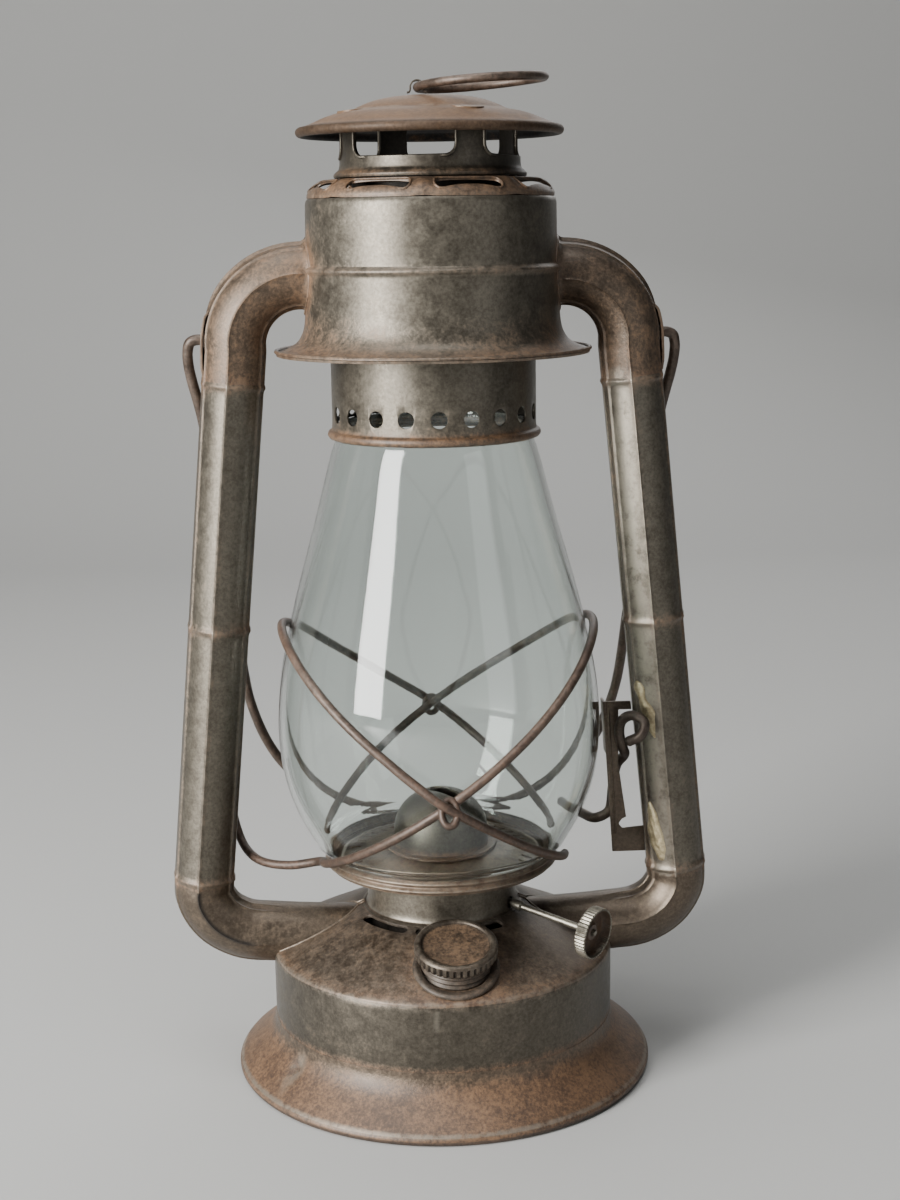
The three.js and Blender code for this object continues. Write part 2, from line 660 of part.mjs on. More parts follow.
piece('base_skirt', baseSkirt(), BROWN);
piece('fount_bottom', fountBottom(), INNER);
piece('fount_wall', fountWall(), PATINA);
piece('fount_top', fountTop(), PATINA);
piece('air_pan', airPan(), INNER);
piece('air_drum', airDrum(), PATINA);
piece('filler_neck', fillerNeck(), PATINA);
piece('filler_gasket', fillerGasket(), CORK);
piece('filler_cap', fillerCap(), PATINA);

sideTubes();
piece('hood', hood(), PATINA);
piece('vent_ring', ventRing(), BROWN);

piece('chimney_collar', perforatedCollar(), PATINA);
piece('flue', flue(), INNER);
piece('neck', neck(), PATINA);
piece('canopy', canopy(), TAN_RUST);
piece('ring_eye', ringEye(), PATINA);
piece('chimney_spring', chimneySpring(), INNER);
piece('lift_ring', liftRing(), WIRE_RUST);
piece('bail', bail(), WIRE_RUST);

piece('globe', globe(), CLEAR);
piece('globe_plate', globePlate(), BROWN);
piece('burner_cone', burnerCone(), PATINA);
piece('guard_wire_a', guardWireA(), WIRE_RUST);
piece('guard_wire_b', guardWireB(), WIRE_RUST);
piece('lift_rod', liftRod(), WIRE_RUST);
piece('lift_bracket', liftBracket(), BROWN);

piece('burner_body', burnerBody(), INNER);
piece('wick_tube', wickTube(), INNER);
piece('wick', flatTube(15, 2.2, 0, 20, 83), COTTON);
piece('wick_shaft', alongShaft(rod(SHAFT_RADIUS, KNOB_DISTANCE + 9, 10), (KNOB_DISTANCE - 7) / 2), ZINC);
piece('spur_wheel_near', spurWheel(3.4), ZINC);
piece('spur_wheel_far', spurWheel(-3.4), ZINC);
piece('wick_knob', wickKnob(), ZINC);

export default lantern;
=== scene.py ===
# Looks of the kerosene lantern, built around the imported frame. Shapes are given in millimetres.
from math import atan, atan2, cos, degrees, exp, hypot, pi, radians, sin, sqrt

import bmesh
import bpy
from mathutils import Matrix, Vector, noise


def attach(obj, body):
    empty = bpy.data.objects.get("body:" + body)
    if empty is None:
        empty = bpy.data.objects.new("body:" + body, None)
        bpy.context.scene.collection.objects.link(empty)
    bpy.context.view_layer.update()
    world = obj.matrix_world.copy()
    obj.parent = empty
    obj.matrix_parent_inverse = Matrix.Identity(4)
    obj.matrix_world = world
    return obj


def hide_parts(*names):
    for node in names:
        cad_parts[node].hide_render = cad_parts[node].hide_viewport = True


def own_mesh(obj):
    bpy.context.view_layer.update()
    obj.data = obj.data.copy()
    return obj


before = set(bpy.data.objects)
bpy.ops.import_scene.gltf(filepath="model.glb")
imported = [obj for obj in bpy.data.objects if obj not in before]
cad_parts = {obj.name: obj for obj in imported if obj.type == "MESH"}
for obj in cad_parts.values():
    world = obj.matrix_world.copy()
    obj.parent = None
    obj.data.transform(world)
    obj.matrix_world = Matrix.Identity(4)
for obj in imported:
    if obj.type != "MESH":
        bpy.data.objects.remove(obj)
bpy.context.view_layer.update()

MM = 0.001
TAU = 2 * pi
SHEET = 0.8
UPRIGHT = Matrix.Rotation(radians(90), 4, "X")  # lays an outline's (x, y) along X and Z


# ---- Camera, lights and floor ----

def add_camera():
    data = bpy.data.cameras.new("camera")
    data.sensor_width = 36
    data.lens = 56.3
    data.clip_start = 0.01
    camera = bpy.data.objects.new("camera", data)
    bpy.context.scene.collection.objects.link(camera)
    turned = Matrix.Rotation(radians(-3.15), 4, "Z") @ Matrix.Rotation(radians(78.64), 4, "X")
    rolled = turned @ Matrix.Rotation(radians(-0.85), 4, "Z")
    camera.matrix_world = Matrix.Translation((-0.0272, -0.5664, 0.2626)) @ rolled
    bpy.context.scene.camera = camera


def add_light(name, place, size, power, colour=(1, 1, 1)):
    """A soft panel, in metres and watts, that faces the middle of the lantern."""
    data = bpy.data.lights.new(name, "AREA")
    data.shape = "RECTANGLE"
    data.size, data.size_y = size
    data.energy = power
    data.color = colour
    light = bpy.data.objects.new(name, data)
    bpy.context.scene.collection.objects.link(light)
    light.location = place
    light.rotation_euler = (Vector((0, 0, 0.15)) - Vector(place)).to_track_quat("-Z", "Y").to_euler()


def add_stage():
    world = bpy.data.worlds.new("studio")
    world.use_nodes = True
    world.node_tree.nodes["Background"].inputs["Color"].default_value = (0.62, 0.64, 0.66, 1)
    world.node_tree.nodes["Background"].inputs["Strength"].default_value = 0.12
    bpy.context.scene.world = world
    line = [(-2.2, 0.0), (0.9, 0.0)]
    line += [(0.9 + 0.6 * sin(a * 0.157), 0.6 - 0.6 * cos(a * 0.157)) for a in range(1, 11)]
    line += [(1.5, 2.6)]
    verts = [(x, y, z) for y, z in line for x in (-2.6, 2.6)]
    faces = [(2 * i, 2 * i + 1, 2 * i + 3, 2 * i + 2) for i in range(len(line) - 1)]
    mesh = bpy.data.meshes.new("floor")
    mesh.from_pydata(verts, [], faces)
    mesh.polygons.foreach_set("use_smooth", [True] * len(faces))
    floor = bpy.data.objects.new("floor", mesh)
    bpy.context.scene.collection.objects.link(floor)
    material = bpy.data.materials.new("floor_paper")
    material.use_nodes = True
    shader = material.node_tree.nodes["Principled BSDF"]
    shader.inputs["Base Color"].default_value = (0.42, 0.42, 0.41, 1)
    shader.inputs["Roughness"].default_value = 0.85
    mesh.materials.append(material)


add_camera()
add_stage()
add_light("window", (-1.0, -0.76, 0.52), (0.5, 0.95), 48, colour=(1, 0.99, 0.97))
add_light("fill", (0.9, -0.95, 0.5), (0.5, 0.9), 1.5, colour=(0.96, 0.98, 1))
add_light("overhead", (-0.15, -0.1, 1.25), (0.9, 0.7), 9)
add_light("behind", (0.3, 1.0, 0.8), (0.9, 0.8), 4)


# ---- Outlines and paths ----

def smooth(points, per=6):
    """A smooth line through points, with a number of steps between each two."""
    ends = [Vector(p) for p in points]
    ends = [2 * ends[0] - ends[1]] + ends + [2 * ends[-1] - ends[-2]]
    line = []
    for a, b, c, d in zip(ends, ends[1:], ends[2:], ends[3:]):
        ta = -((b - a).length ** 0.5)
        tc = (c - b).length ** 0.5
        td = tc + (d - c).length ** 0.5
        for i in range(per):
            t = tc * i / per
            ab = a.lerp(b, (t - ta) / -ta)
            bc = b.lerp(c, t / tc)
            cd = c.lerp(d, (t - tc) / (td - tc))
            line.append(ab.lerp(bc, (t - ta) / (tc - ta)).lerp(bc.lerp(cd, t / td), t / tc))
    return line + [ends[-2]]


def arc(x, y, radius, start, end, steps):
    angles = [radians(start + (end - start) * i / steps) for i in range(steps + 1)]
    return [Vector((x + radius * cos(a), y + radius * sin(a))) for a in angles]


def sheet(line, thickness=SHEET):
    """The outline of a sheet, with its thickness to the left of the line."""
    line = [Vector(p) for p in line]
    other = []
    for i, p in enumerate(line):
        before = (p - line[i - 1]).normalized() if i else None
        after = (line[i + 1] - p).normalized() if i + 1 < len(line) else None
        along = ((before or after) + (after or before)).normalized()
        spread = max(along.dot(after or before), 0.5)
        other.append(p + Vector((-along.y, along.x)) * (thickness / spread))
    return line + other[::-1]


def rounded(width, height, corner, steps=6):
    """Points round a rectangle with round corners, centred on the origin."""
    w, h = width / 2 - corner, height / 2 - corner
    return [
        p for x, y, start in ((w, h, 0), (-w, h, 90), (-w, -h, 180), (w, -h, 270))
        for p in arc(x, y, corner, start, start + 90, steps)
    ]


# ---- Meshes ----

def build(name, verts, faces, sharp=35.0):
    mesh = bpy.data.meshes.new(name)
    mesh.from_pydata([Vector(v) * MM for v in verts], [], faces)
    bm = bmesh.new()
    bm.from_mesh(mesh)
    bmesh.ops.remove_doubles(bm, verts=bm.verts, dist=1e-7)
    bmesh.ops.recalc_face_normals(bm, faces=bm.faces)
    bm.to_mesh(mesh)
    bm.free()
    shade(mesh, sharp)
    piece = bpy.data.objects.new(name, mesh)
    bpy.context.scene.collection.objects.link(piece)
    return piece


def shade(mesh, sharp=35.0):
    mesh.polygons.foreach_set("use_smooth", [True] * len(mesh.polygons))
    mesh.set_sharp_from_angle(angle=radians(sharp))


def uneven(depth, across, along):
    """A change of radius, in long soft waves round a wall and up it."""
    return lambda r, z, a: (
        r + depth * noise.noise(Vector((cos(a) * across, sin(a) * across, z * along))), z)


def lathe(name, outline, segments=160, shape=None, matrix=None, sharp=35.0):
    """A closed outline of (radius, height) turned about Z; shape may change (radius, height) at an angle."""
    verts, rings = [], []
    for r, z in outline:
        if r < 1e-6:
            rings.append([len(verts)] * segments)
            verts.append(Vector((0, 0, z)))
            continue
        rings.append(list(range(len(verts), len(verts) + segments)))
        for k in range(segments):
            angle = TAU * k / segments
            rr, zz = shape(r, z, angle) if shape else (r, z)
            verts.append(Vector((rr * cos(angle), rr * sin(angle), zz)))
    faces = []
    for low, high in zip(rings, rings[1:] + rings[:1]):
        if low[0] == low[1] and high[0] == high[1]:
            continue
        for k in range(segments):
            n = (k + 1) % segments
            corners = [low[k], low[n], high[n], high[k]]
            faces.append([c for i, c in enumerate(corners) if c not in corners[:i]])
    if matrix:
        verts = [matrix @ v for v in verts]
    return build(name, verts, faces, sharp)


def tube_mesh(rings, closed=False):
    """Vertices and faces of a skin over rings of points."""
    sides = len(rings[0])
    verts = [p for ring in rings for p in ring]
    faces = [
        [i * sides + k, i * sides + (k + 1) % sides,
         (i + 1) % len(rings) * sides + (k + 1) % sides, (i + 1) % len(rings) * sides + k]
        for i in range(len(rings) if closed else len(rings) - 1) for k in range(sides)
    ]
    if not closed:
        faces += [list(range(sides)), list(range(len(verts) - sides, len(verts)))]
    return verts, faces


def wire(name, path, radius, sides=16, closed=False):
    """A round wire along a path, with softened ends."""
    path = [Vector(p) for p in path]
    count = len(path)
    tangents = []
    for i in range(count):
        before = path[(i - 1) % count] if closed or i else path[i]
        after = path[(i + 1) % count] if closed or i + 1 < count else path[i]
        tangents.append((after - before).normalized())
    aside = tangents[0].orthogonal().normalized()
    rings = []
    for i, (p, t) in enumerate(zip(path, tangents)):
        aside = (aside - t * aside.dot(t)).normalized()
        up = t.cross(aside)
        r = radius * (1 + 0.03 * noise.noise(p * 0.22))
        turns = [TAU * k / sides for k in range(sides)]
        rings.append([p + r * (aside * cos(a) + up * sin(a)) for a in turns])
    if not closed:
        for end in (0, -1):
            out = -tangents[0] if end == 0 else tangents[-1]
            edge, centre = rings[end], path[end]
            caps = [[centre + (q - centre) * cos(a) + out * radius * 0.5 * sin(a) for q in edge]
                    for a in (0.5, 1.0, 1.35)]
            rings = caps[::-1] + rings if end == 0 else rings + caps
    return build(name, *tube_mesh(rings, closed), sharp=50)


def prism(name, outline, low, high, matrix=None):
    """An outline in (x, y) raised between two heights."""
    rings = [[Vector((p[0], p[1], z)) for p in outline] for z in (low, high)]
    if matrix:
        rings = [[matrix @ p for p in ring] for ring in rings]
    return build(name, *tube_mesh(rings))


def round_hole(centre, radius, low, high, sides=32):
    """A cutter along X, between two distances."""
    turns = [TAU * k / sides for k in range(sides)]
    return build("cutter", *tube_mesh([
        [Vector((x, centre[0] + radius * cos(a), centre[1] + radius * sin(a))) for a in turns]
        for x in (low, high)]))


def window(outline, centre, height, inner, outer, radius):
    """A cutter through a round wall: an outline of (arc length, height) at an angle and a height."""
    rings = []
    for r in (inner, outer):
        angles = [radians(centre) + x / radius for x, _ in outline]
        rings.append([Vector((r * cos(a), r * sin(a), height + p[1]))
                      for a, p in zip(angles, outline)])
    return build("cutter", *tube_mesh(rings))


def polar_slot(outline, centre, radius, low, high):
    """A cutter down through a lid: an outline of (arc length, radius) at an angle."""
    rings = []
    for z in (low, high):
        places = [(radians(centre) + x / radius, radius + y) for x, y in outline]
        rings.append([Vector((r * cos(a), r * sin(a), z)) for a, r in places])
    return build("cutter", *tube_mesh(rings))


def ring_slot(inner, outer, start, end, low, high):
    """A cutter down through a lid: part of a ring with round ends, between two angles."""
    middle, half = (inner + outer) / 2, (outer - inner) / 2
    turn = degrees(half / middle)
    steps = max(int((end - start) / 4), 2)
    line = [(outer, start + turn + (end - start - 2 * turn) * i / steps) for i in range(steps + 1)]
    line += [(middle + half * cos(t), end - turn + turn * sin(t)) for t in (0.6, 1.2, 1.94, 2.54)]
    line += [(inner, end - turn - (end - start - 2 * turn) * i / steps) for i in range(steps + 1)]
    line += [(middle - half * cos(t), start + turn - turn * sin(t)) for t in (0.6, 1.2, 1.94, 2.54)]
    places = [(r * cos(radians(a)), r * sin(radians(a))) for r, a in line]
    return prism("cutter", places, low, high)


def modified(piece, kind, **settings):
    """Applies one modifier to a piece."""
    modifier = piece.modifiers.new(kind, kind)
    for key, value in settings.items():
        setattr(modifier, key, value)
    depsgraph = bpy.context.evaluated_depsgraph_get()
    mesh = bpy.data.meshes.new_from_object(piece.evaluated_get(depsgraph))
    piece.modifiers.clear()
    old, piece.data = piece.data, mesh
    bpy.data.meshes.remove(old)
    return piece


def cut(piece, cutters, edge=0.0):
    """Cuts cutters out of a piece, and softens the edges left."""
    for cutter in cutters:
        modified(piece, "BOOLEAN", object=cutter, operation="DIFFERENCE", solver="MANIFOLD")
        bpy.data.objects.remove(cutter)
    if edge:
        soften(piece, edge)
    shade(piece.data)
    return piece


def soften(piece, edge, segments=2):
    """Rounds every edge sharper than 40 degrees."""
    modified(piece, "BEVEL", width=edge * MM, segments=segments, limit_method="ANGLE",
             angle_limit=radians(40), use_clamp_overlap=True, harden_normals=False)
    shade(piece.data)
    return piece


def joined(name, pieces, sharp=35.0):
    """One piece made of several meshes."""
    bm = bmesh.new()
    for p in pieces:
        bm.from_mesh(p.data)
        bpy.data.objects.remove(p)
    mesh = bpy.data.meshes.new(name)
    bm.to_mesh(mesh)
    bm.free()
    shade(mesh, sharp)
    piece = bpy.data.objects.new(name, mesh)
    bpy.context.scene.collection.objects.link(piece)
    return piece


# ---- Materials ----

class Surface:
    """A node material, built one node at a time."""

    def __init__(self, name):
        self.material = bpy.data.materials.new(name)
        self.material.use_nodes = True
        self.tree = self.material.node_tree
        self.shader = self.tree.nodes["Principled BSDF"]
        self.place = self.node("ShaderNodeTexCoord").outputs["Object"]

    def node(self, kind, inputs=None, **settings):
        made = self.tree.nodes.new(kind)
        for key, value in settings.items():
            setattr(made, key, value)
        for key, value in (inputs or {}).items():
            self.feed(made.inputs[key], value)
        return made

    def feed(self, socket, value):
        if isinstance(value, bpy.types.NodeSocket):
            self.tree.links.new(value, socket)
        else:
            socket.default_value = (*value, 1) if socket.type == "RGBA" else value

    def noise(self, scale, detail=5.0, rough=0.6, stretch=None):
        place = self.place
        if stretch:
            place = self.node("ShaderNodeMapping", {"Vector": place, "Scale": stretch}).outputs[0]
        inputs = {"Vector": place, "Scale": scale, "Detail": detail, "Roughness": rough}
        return self.node("ShaderNodeTexNoise", inputs).outputs["Fac"]

    def ramp(self, value, low, high):
        """0 below low, 1 above high, smooth between."""
        return self.node("ShaderNodeMapRange", {"Value": value, "From Min": low, "From Max": high},
                         interpolation_type="SMOOTHSTEP", clamp=True).outputs[0]

    def math(self, operation, a, b=0.0, clamp=False):
        return self.node("ShaderNodeMath", {0: a, 1: b}, operation=operation, use_clamp=clamp).outputs[0]

    def total(self, *terms):
        """The sum of values, each times its weight."""
        value, weight = terms[0]
        summed = self.math("MULTIPLY", value, weight)
        for value, weight in terms[1:]:
            made = self.node("ShaderNodeMath", {0: value, 1: weight, 2: summed}, operation="MULTIPLY_ADD")
            summed = made.outputs[0]
        return summed

    def mix(self, share, a, b, kind="RGBA"):
        made = self.node("ShaderNodeMix", data_type=kind)
        for socket, value in (("Factor", share), ("A", a), ("B", b)):
            self.feed(made.inputs[socket], value)
        return made.outputs["Result"]

    def blend(self, share, a, b):
        """The same for numbers."""
        return self.mix(share, a, b, "FLOAT")

    def bump(self, height, strength, distance):
        inputs = {"Height": height, "Strength": strength, "Distance": distance * MM}
        self.set(Normal=self.node("ShaderNodeBump", inputs).outputs[0])

    def set(self, **values):
        for key, value in values.items():
            self.feed(self.shader.inputs[key.replace("_", " ")], value)


def aged_metal(name, dark, light, rust_dark, rust_light, rusting, rough=(0.36, 0.5), bump=0.3, coat=0.35):
    """Old sheet steel: a finely mottled patina, rust where the piece's age says, rubbed edges with some
    painted highlights, and soot with some painted shade.
    """
    s = Surface(name)
    age = s.node("ShaderNodeAttribute", attribute_name="age").outputs["Color"]
    split = s.node("ShaderNodeSeparateColor", {"Color": age})
    # Green carries rubbed wear and painted highlights; blue carries soot and painted shade.
    rust_here, wear_and_highlight_here, soot_and_shade_here = split.outputs[0], split.outputs[1], split.outputs[2]
    patches = s.noise(30, 4, 0.55)
    mottle = s.noise(260, 6, 0.66)
    grains = s.noise(1000, 4, 0.7)
    fine = s.noise(2600, 2, 0.6)
    steel = s.mix(s.ramp(s.total((patches, 0.22), (mottle, 0.3), (grains, 0.48)), 0.34, 0.68), dark, light)
    spread = s.total((patches, 0.3), (mottle, 0.4), (grains, 0.4), (rust_here, 0.62))
    rust = s.ramp(spread, 0.78 - 0.3 * rusting, 1.2 - 0.3 * rusting)
    rust_tone = s.ramp(s.total((grains, 0.5), (mottle, 0.3), (patches, 0.2)), 0.38, 0.64)
    colour = s.mix(rust, steel, s.mix(rust_tone, rust_dark, rust_light))
    # Soot, and painted shade where the age says, darkens the colour.
    soot_and_shade = s.math("MULTIPLY", soot_and_shade_here, s.ramp(mottle, 0.2, 0.5), clamp=True)
    colour = s.mix(soot_and_shade, colour, (0.012, 0.01, 0.009))
    # Rubbed bare metal, and painted highlights where the age says, lightens the colour.
    thin = s.ramp(s.total((mottle, 1.0), (wear_and_highlight_here, 0.25)), 0.42, 0.66)
    wear_and_highlight = s.math("MULTIPLY", wear_and_highlight_here, thin, clamp=True)
    colour = s.mix(wear_and_highlight, colour, (0.3, 0.27, 0.22))
    roughness = s.blend(rust, s.blend(s.ramp(mottle, 0.3, 0.7), rough[0], rough[1]), 0.58)
    roughness = s.blend(soot_and_shade, s.blend(wear_and_highlight, roughness, 0.34), 0.8)
    body = s.blend(wear_and_highlight, s.blend(rust, 0.8, 0.1), 0.9)
    s.set(Base_Color=colour, Roughness=roughness, Metallic=body)
    s.shader.inputs["Specular IOR Level"].default_value = 0.6
    s.shader.inputs["Coat Weight"].default_value = coat
    s.shader.inputs["Coat Roughness"].default_value = 0.42
    relief = s.total((mottle, 0.5), (grains, 0.25), (s.math("MULTIPLY", grains, rust), 0.9),
                     (s.math("MULTIPLY", fine, rust), 0.4))
    s.bump(relief, bump, 0.35)
    return s.material


RUST_DARK = (0.05, 0.026, 0.014)
RUST_LIGHT = (0.18, 0.1, 0.05)

PATINA = aged_metal("patina_steel", (0.068, 0.056, 0.04), (0.165, 0.147, 0.115), RUST_DARK, RUST_LIGHT, 0.45)
DARK_PATINA = aged_metal("dark_patina", (0.046, 0.037, 0.026), (0.112, 0.097, 0.073),
                         RUST_DARK, RUST_LIGHT, 0.4)
BROWN = aged_metal("brown_steel", (0.07, 0.05, 0.034), (0.15, 0.118, 0.084), RUST_DARK, RUST_LIGHT, 0.75)
CANOPY = aged_metal("tan_rust", (0.078, 0.043, 0.021), (0.13, 0.078, 0.04),
                    (0.08, 0.04, 0.017), (0.155, 0.083, 0.036), 1.35, bump=0.22, coat=0.12)
WIRE = aged_metal("wire_rust", (0.055, 0.038, 0.027), (0.12, 0.088, 0.066),
                  (0.05, 0.025, 0.015), (0.13, 0.07, 0.042), 0.95, bump=0.22)
ZINC = aged_metal("worn_zinc", (0.11, 0.1, 0.078), (0.3, 0.28, 0.225),
                  (0.07, 0.04, 0.022), (0.17, 0.1, 0.055), 0.2, rough=(0.3, 0.44), bump=0.2)
CAP_STEEL = aged_metal("cap_steel", (0.055, 0.042, 0.031), (0.15, 0.118, 0.086),
                       (0.06, 0.034, 0.019), (0.22, 0.135, 0.075), 0.6)
SOOTED = aged_metal("sooted_steel", (0.03, 0.026, 0.022), (0.075, 0.062, 0.05),
                    RUST_DARK, (0.12, 0.066, 0.036), 0.4, rough=(0.5, 0.7))
SOLDER = aged_metal("solder", (0.26, 0.2, 0.11), (0.6, 0.52, 0.33),
                    (0.14, 0.085, 0.045), (0.32, 0.22, 0.12), 0.3, rough=(0.42, 0.6), bump=0.6)


def glass_material():
    s = Surface("globe_glass")
    s.shader.inputs["Base Color"].default_value = (0.93, 0.975, 0.955, 1)
    s.shader.inputs["Transmission Weight"].default_value = 1.0
    s.shader.inputs["IOR"].default_value = 1.47
    smear = s.ramp(s.noise(26, 6, 0.65, stretch=(1.0, 1.0, 0.4)), 0.5, 0.8)
    s.set(Roughness=s.blend(smear, 0.012, 0.05))
    waves = s.noise(22, 2, 0.4, stretch=(1.0, 1.0, 0.35))
    s.bump(s.total((waves, 1), (s.noise(900, 2, 0.5), 0.012)), 0.12, 1.6)
    return s.material


def cotton_material():
    s = Surface("wick_cotton")
    inputs = {"Vector": s.place, "Scale": 700.0, "Distortion": 1.5}
    weave = s.node("ShaderNodeTexWave", inputs, bands_direction="Z").outputs["Fac"]
    height = s.node("ShaderNodeSeparateXYZ", {"Vector": s.place}).outputs["Z"]
    char = s.ramp(height, 0.078, 0.081)
    cloth = s.mix(weave, (0.36, 0.3, 0.2), (0.6, 0.52, 0.38))
    s.set(Base_Color=s.mix(char, cloth, (0.015, 0.012, 0.01)), Roughness=0.95)
    s.bump(weave, 0.4, 0.2)
    return s.material


def cork_material():
    s = Surface("cork")
    crumbs = s.node("ShaderNodeTexVoronoi", {"Vector": s.place, "Scale": 900.0}).outputs["Distance"]
    s.set(Base_Color=s.mix(s.ramp(crumbs, 0.1, 0.7), (0.2, 0.11, 0.05), (0.42, 0.27, 0.14)), Roughness=0.9)
    s.bump(crumbs, 0.5, 0.3)
    return s.material


GLASS = glass_material()
COTTON = cotton_material()
CORK = cork_material()


# ---- Placing pieces ----

def bell(x, centre, width):
    return exp(-(((x - centre) / width) ** 2))


def age_mesh(mesh, age):
    """Stores rust, wear (with some painted highlight) and soot (with some painted shade), each from 0 to 1,
    at every corner; age may be worked out at each.
    """
    layer = mesh.color_attributes.new("age", "FLOAT_COLOR", "POINT")
    for vertex, slot in zip(mesh.vertices, layer.data):
        p = vertex.co / MM
        values = age(p) if callable(age) else age
        slot.color = (*[min(max(v, 0), 1) for v in values], 1)


def finish_piece(piece, material, body, node=None, age=(0, 0, 0)):
    age_mesh(piece.data, age)
    piece.data.materials.clear()
    piece.data.materials.append(material)
    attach(piece, body)
    if node:
        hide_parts(node)
    return piece


def radius_of(p):
    return hypot(p.x, p.y)


def angle_of(p):
    """Degrees from +X."""
    return degrees(atan2(p.y, p.x))


# ---- Fount and base ----

DENT = -146  # angle of the small dent in the skirt, from +X


def base_skirt():
    flare = smooth([(53.5, 17.4), (53.7, 15.5), (54.4, 13.3), (55.9, 10.9), (58.6, 8.2), (61.8, 5.5),
                    (64.6, 3.2)], 4)
    bead = [Vector((p.x, max(p.y, 0.0))) for p in arc(63.95, 1.5, 1.6, 48, -200, 18)]
    under = [Vector((p.x - SHEET, p.y - 0.05 * (16 - p.y))) for p in reversed(flare)]

    waved = uneven(0.12, 2, 0.1)

    def dented(r, z, angle):
        d = (radians(DENT) - angle + pi) % TAU - pi
        dent = 0.75 * bell(d * 58, 0, 2.3) * bell(z, 10.5, 4.0)
        return (waved(r, z, angle)[0] - dent, z - dent * 0.5) if z > 3.3 else (r, z)

    skirt = lathe("skirt", flare + bead + under, 200, dented)

    def age(p):
        r = radius_of(p)
        low = 0.45 + 0.35 * bell(p.z, 7, 6) - 0.3 * bell(p.z, 16, 2.4)
        dent = bell(angle_of(p), DENT, 2.6) * bell(p.z, 10.5, 4.5)
        rim = bell(r, 64.9, 0.5) * bell(p.z, 3.0, 0.55)
        return low, max(0.75 * rim, 0.5 * dent), 0.6 * (r > 64.2 and p.z < 1.6)

    finish_piece(skirt, BROWN, "frame", "base_skirt", age)


def scratch_wear(p, lines):
    """How close a point is to any of some short scratches, each (angle, z low, z high, lean)."""
    best = 0.0
    for centre, low, high, lean in lines:
        if low < p.z < high:
            off = (angle_of(p) - centre - lean * (p.z - low)) * 0.93
            best = max(best, bell(off, 0, 0.42))
    return best


def fount():
    wall = lathe("fount_band", sheet(
        [(53.45, 16.2), (53.4, 17.4), (53.5, 20), (53.5, 36.2), (53.45, 37.4), (53.2, 38.1)]), 220,
        uneven(0.1, 1.7, 0.06))
    scratches = [(-96.5, 31, 37.4, 0.35), (-98.4, 27.5, 31, 1.1), (-119.5, 28, 36, 0.1), (-60, 20, 26, 1.4)]

    def wall_age(p):
        edge = bell(p.z, 37.6, 1.3)
        foot = bell(p.z, 16.5, 2.6)
        return 0.3 * edge + 0.7 * foot + 0.05, max(0.6 * scratch_wear(p, scratches), 0.2 * edge), 0.0

    finish_piece(wall, DARK_PATINA, "frame", "fount_wall", wall_age)

    cone = smooth([(53.35, 37.7), (53.15, 38.5), (52.2, 39.25), (46, 42.3), (35, 47.5), (25.2, 51.8)], 8)
    cone += smooth([(24.0, 52.3), (20, 52.45), (14, 52.4)], 2)
    top = lathe("fount_cone", sheet(cone), 220)
    filler = lathe("cutter", [(0, -12), (10.6, -12), (10.6, 12), (0, 12)], 48, matrix=CAP_FRAME)
    # Two slots cut round the drum's foot, with a small tab left between them, stand in for the shadow under
    # the drum's foot.
    shadow_slots = [ring_slot(25.5, 28.4, -155, -116, 40, 60), ring_slot(25.5, 28.4, -110.5, -50, 40, 60)]
    cut(top, [filler, *shadow_slots], 0.15)

    def cone_age(p):
        r = radius_of(p)
        edge = bell(r, 52.6, 2.4)
        neck = bell((Vector((p.x - 2, p.y + 40.5))).length, 12.5, 4.0)
        wear_and_highlight = 0.12 + 0.25 * bell(r, 53.0, 0.7)
        # Round the drum's foot the cone is painted darker, a painted shade; a faint darkening lies all over.
        return 0.22 + 0.25 * edge + 0.3 * neck, wear_and_highlight, 0.6 * bell(r, 26, 3.2) + 0.04

    finish_piece(top, BROWN, "frame", "fount_top", cone_age)


def air_drum():
    line = smooth([(25.2, 51.9), (24.0, 52.3), (23.55, 53.2)], 4)
    line += smooth([(23.5, 54.5), (23.5, 64.0), (23.7, 65.4), (24.3, 66.1)], 5)
    drum = lathe("drum", sheet(line), 140)
    hole = prism("cutter", arc(0, 0, 1.9, 0, 345, 23), 15, 30, SHAFT_FRAME)
    cut(drum, [hole])
    finish_piece(drum, PATINA, "frame", "air_drum", lambda p: (
        0.1 + 0.5 * bell(p.z, 65, 1.5), 0.4 * bell(p.z, 52.6, 0.5) * (p.x < 0), 0.5 * bell(p.z, 66, 2.5)))


# ---- Side ducts ----

LEAN = 0.095  # how far a duct leans in for each millimetre up
DUCT = 9.35
ELBOW = Vector((39.2, 227.5))  # centre of the upper bend
JOINTS = (62.4, 142, 215.9)
HEAD_HEIGHT = 247.5  # of the ducts' ends in the hood
BAIL_HEIGHT = 229.5


def centre_x(z):
    return 74.7 - LEAN * (z - 62)


def step(x, low, high):
    """0 below low, 1 above high, smooth between."""
    t = min(max((x - low) / (high - low), 0), 1)
    return t * t * (3 - 2 * t)


def duct_paths():
    """The centre line of the right-hand duct in three lengths, from the fount up to the hood."""
    lower = smooth([(22, 41.4), (30, 41.7), (42, 42.2), (54, 43.2), (63.5, 44.8), (70.6, 49.2), (74.6, 56),
                    (74.7, 61), (centre_x(63.6), 63.6)], 7)
    near = [sign * d for d in (0, 0.3, 0.6, 1, 1.4, 2, 3) for sign in (-1, 1)]
    heights = sorted({*(joint + d for joint in JOINTS for d in near), *range(68, 214, 6)})
    straight = [Vector((centre_x(z), z)) for z in heights if 61 <= z <= 217.4]
    bend = arc(*ELBOW, 20, degrees(atan(LEAN)), 90, 22)
    upper = [Vector((centre_x(z), z)) for z in (215.2, 216.2, 217.2, 219, 221, 223.4, 226)] + bend
    upper += [Vector((x, HEAD_HEIGHT)) for x in (38.6, 38.0, 37.5, 37.0)]
    return lower, straight, upper


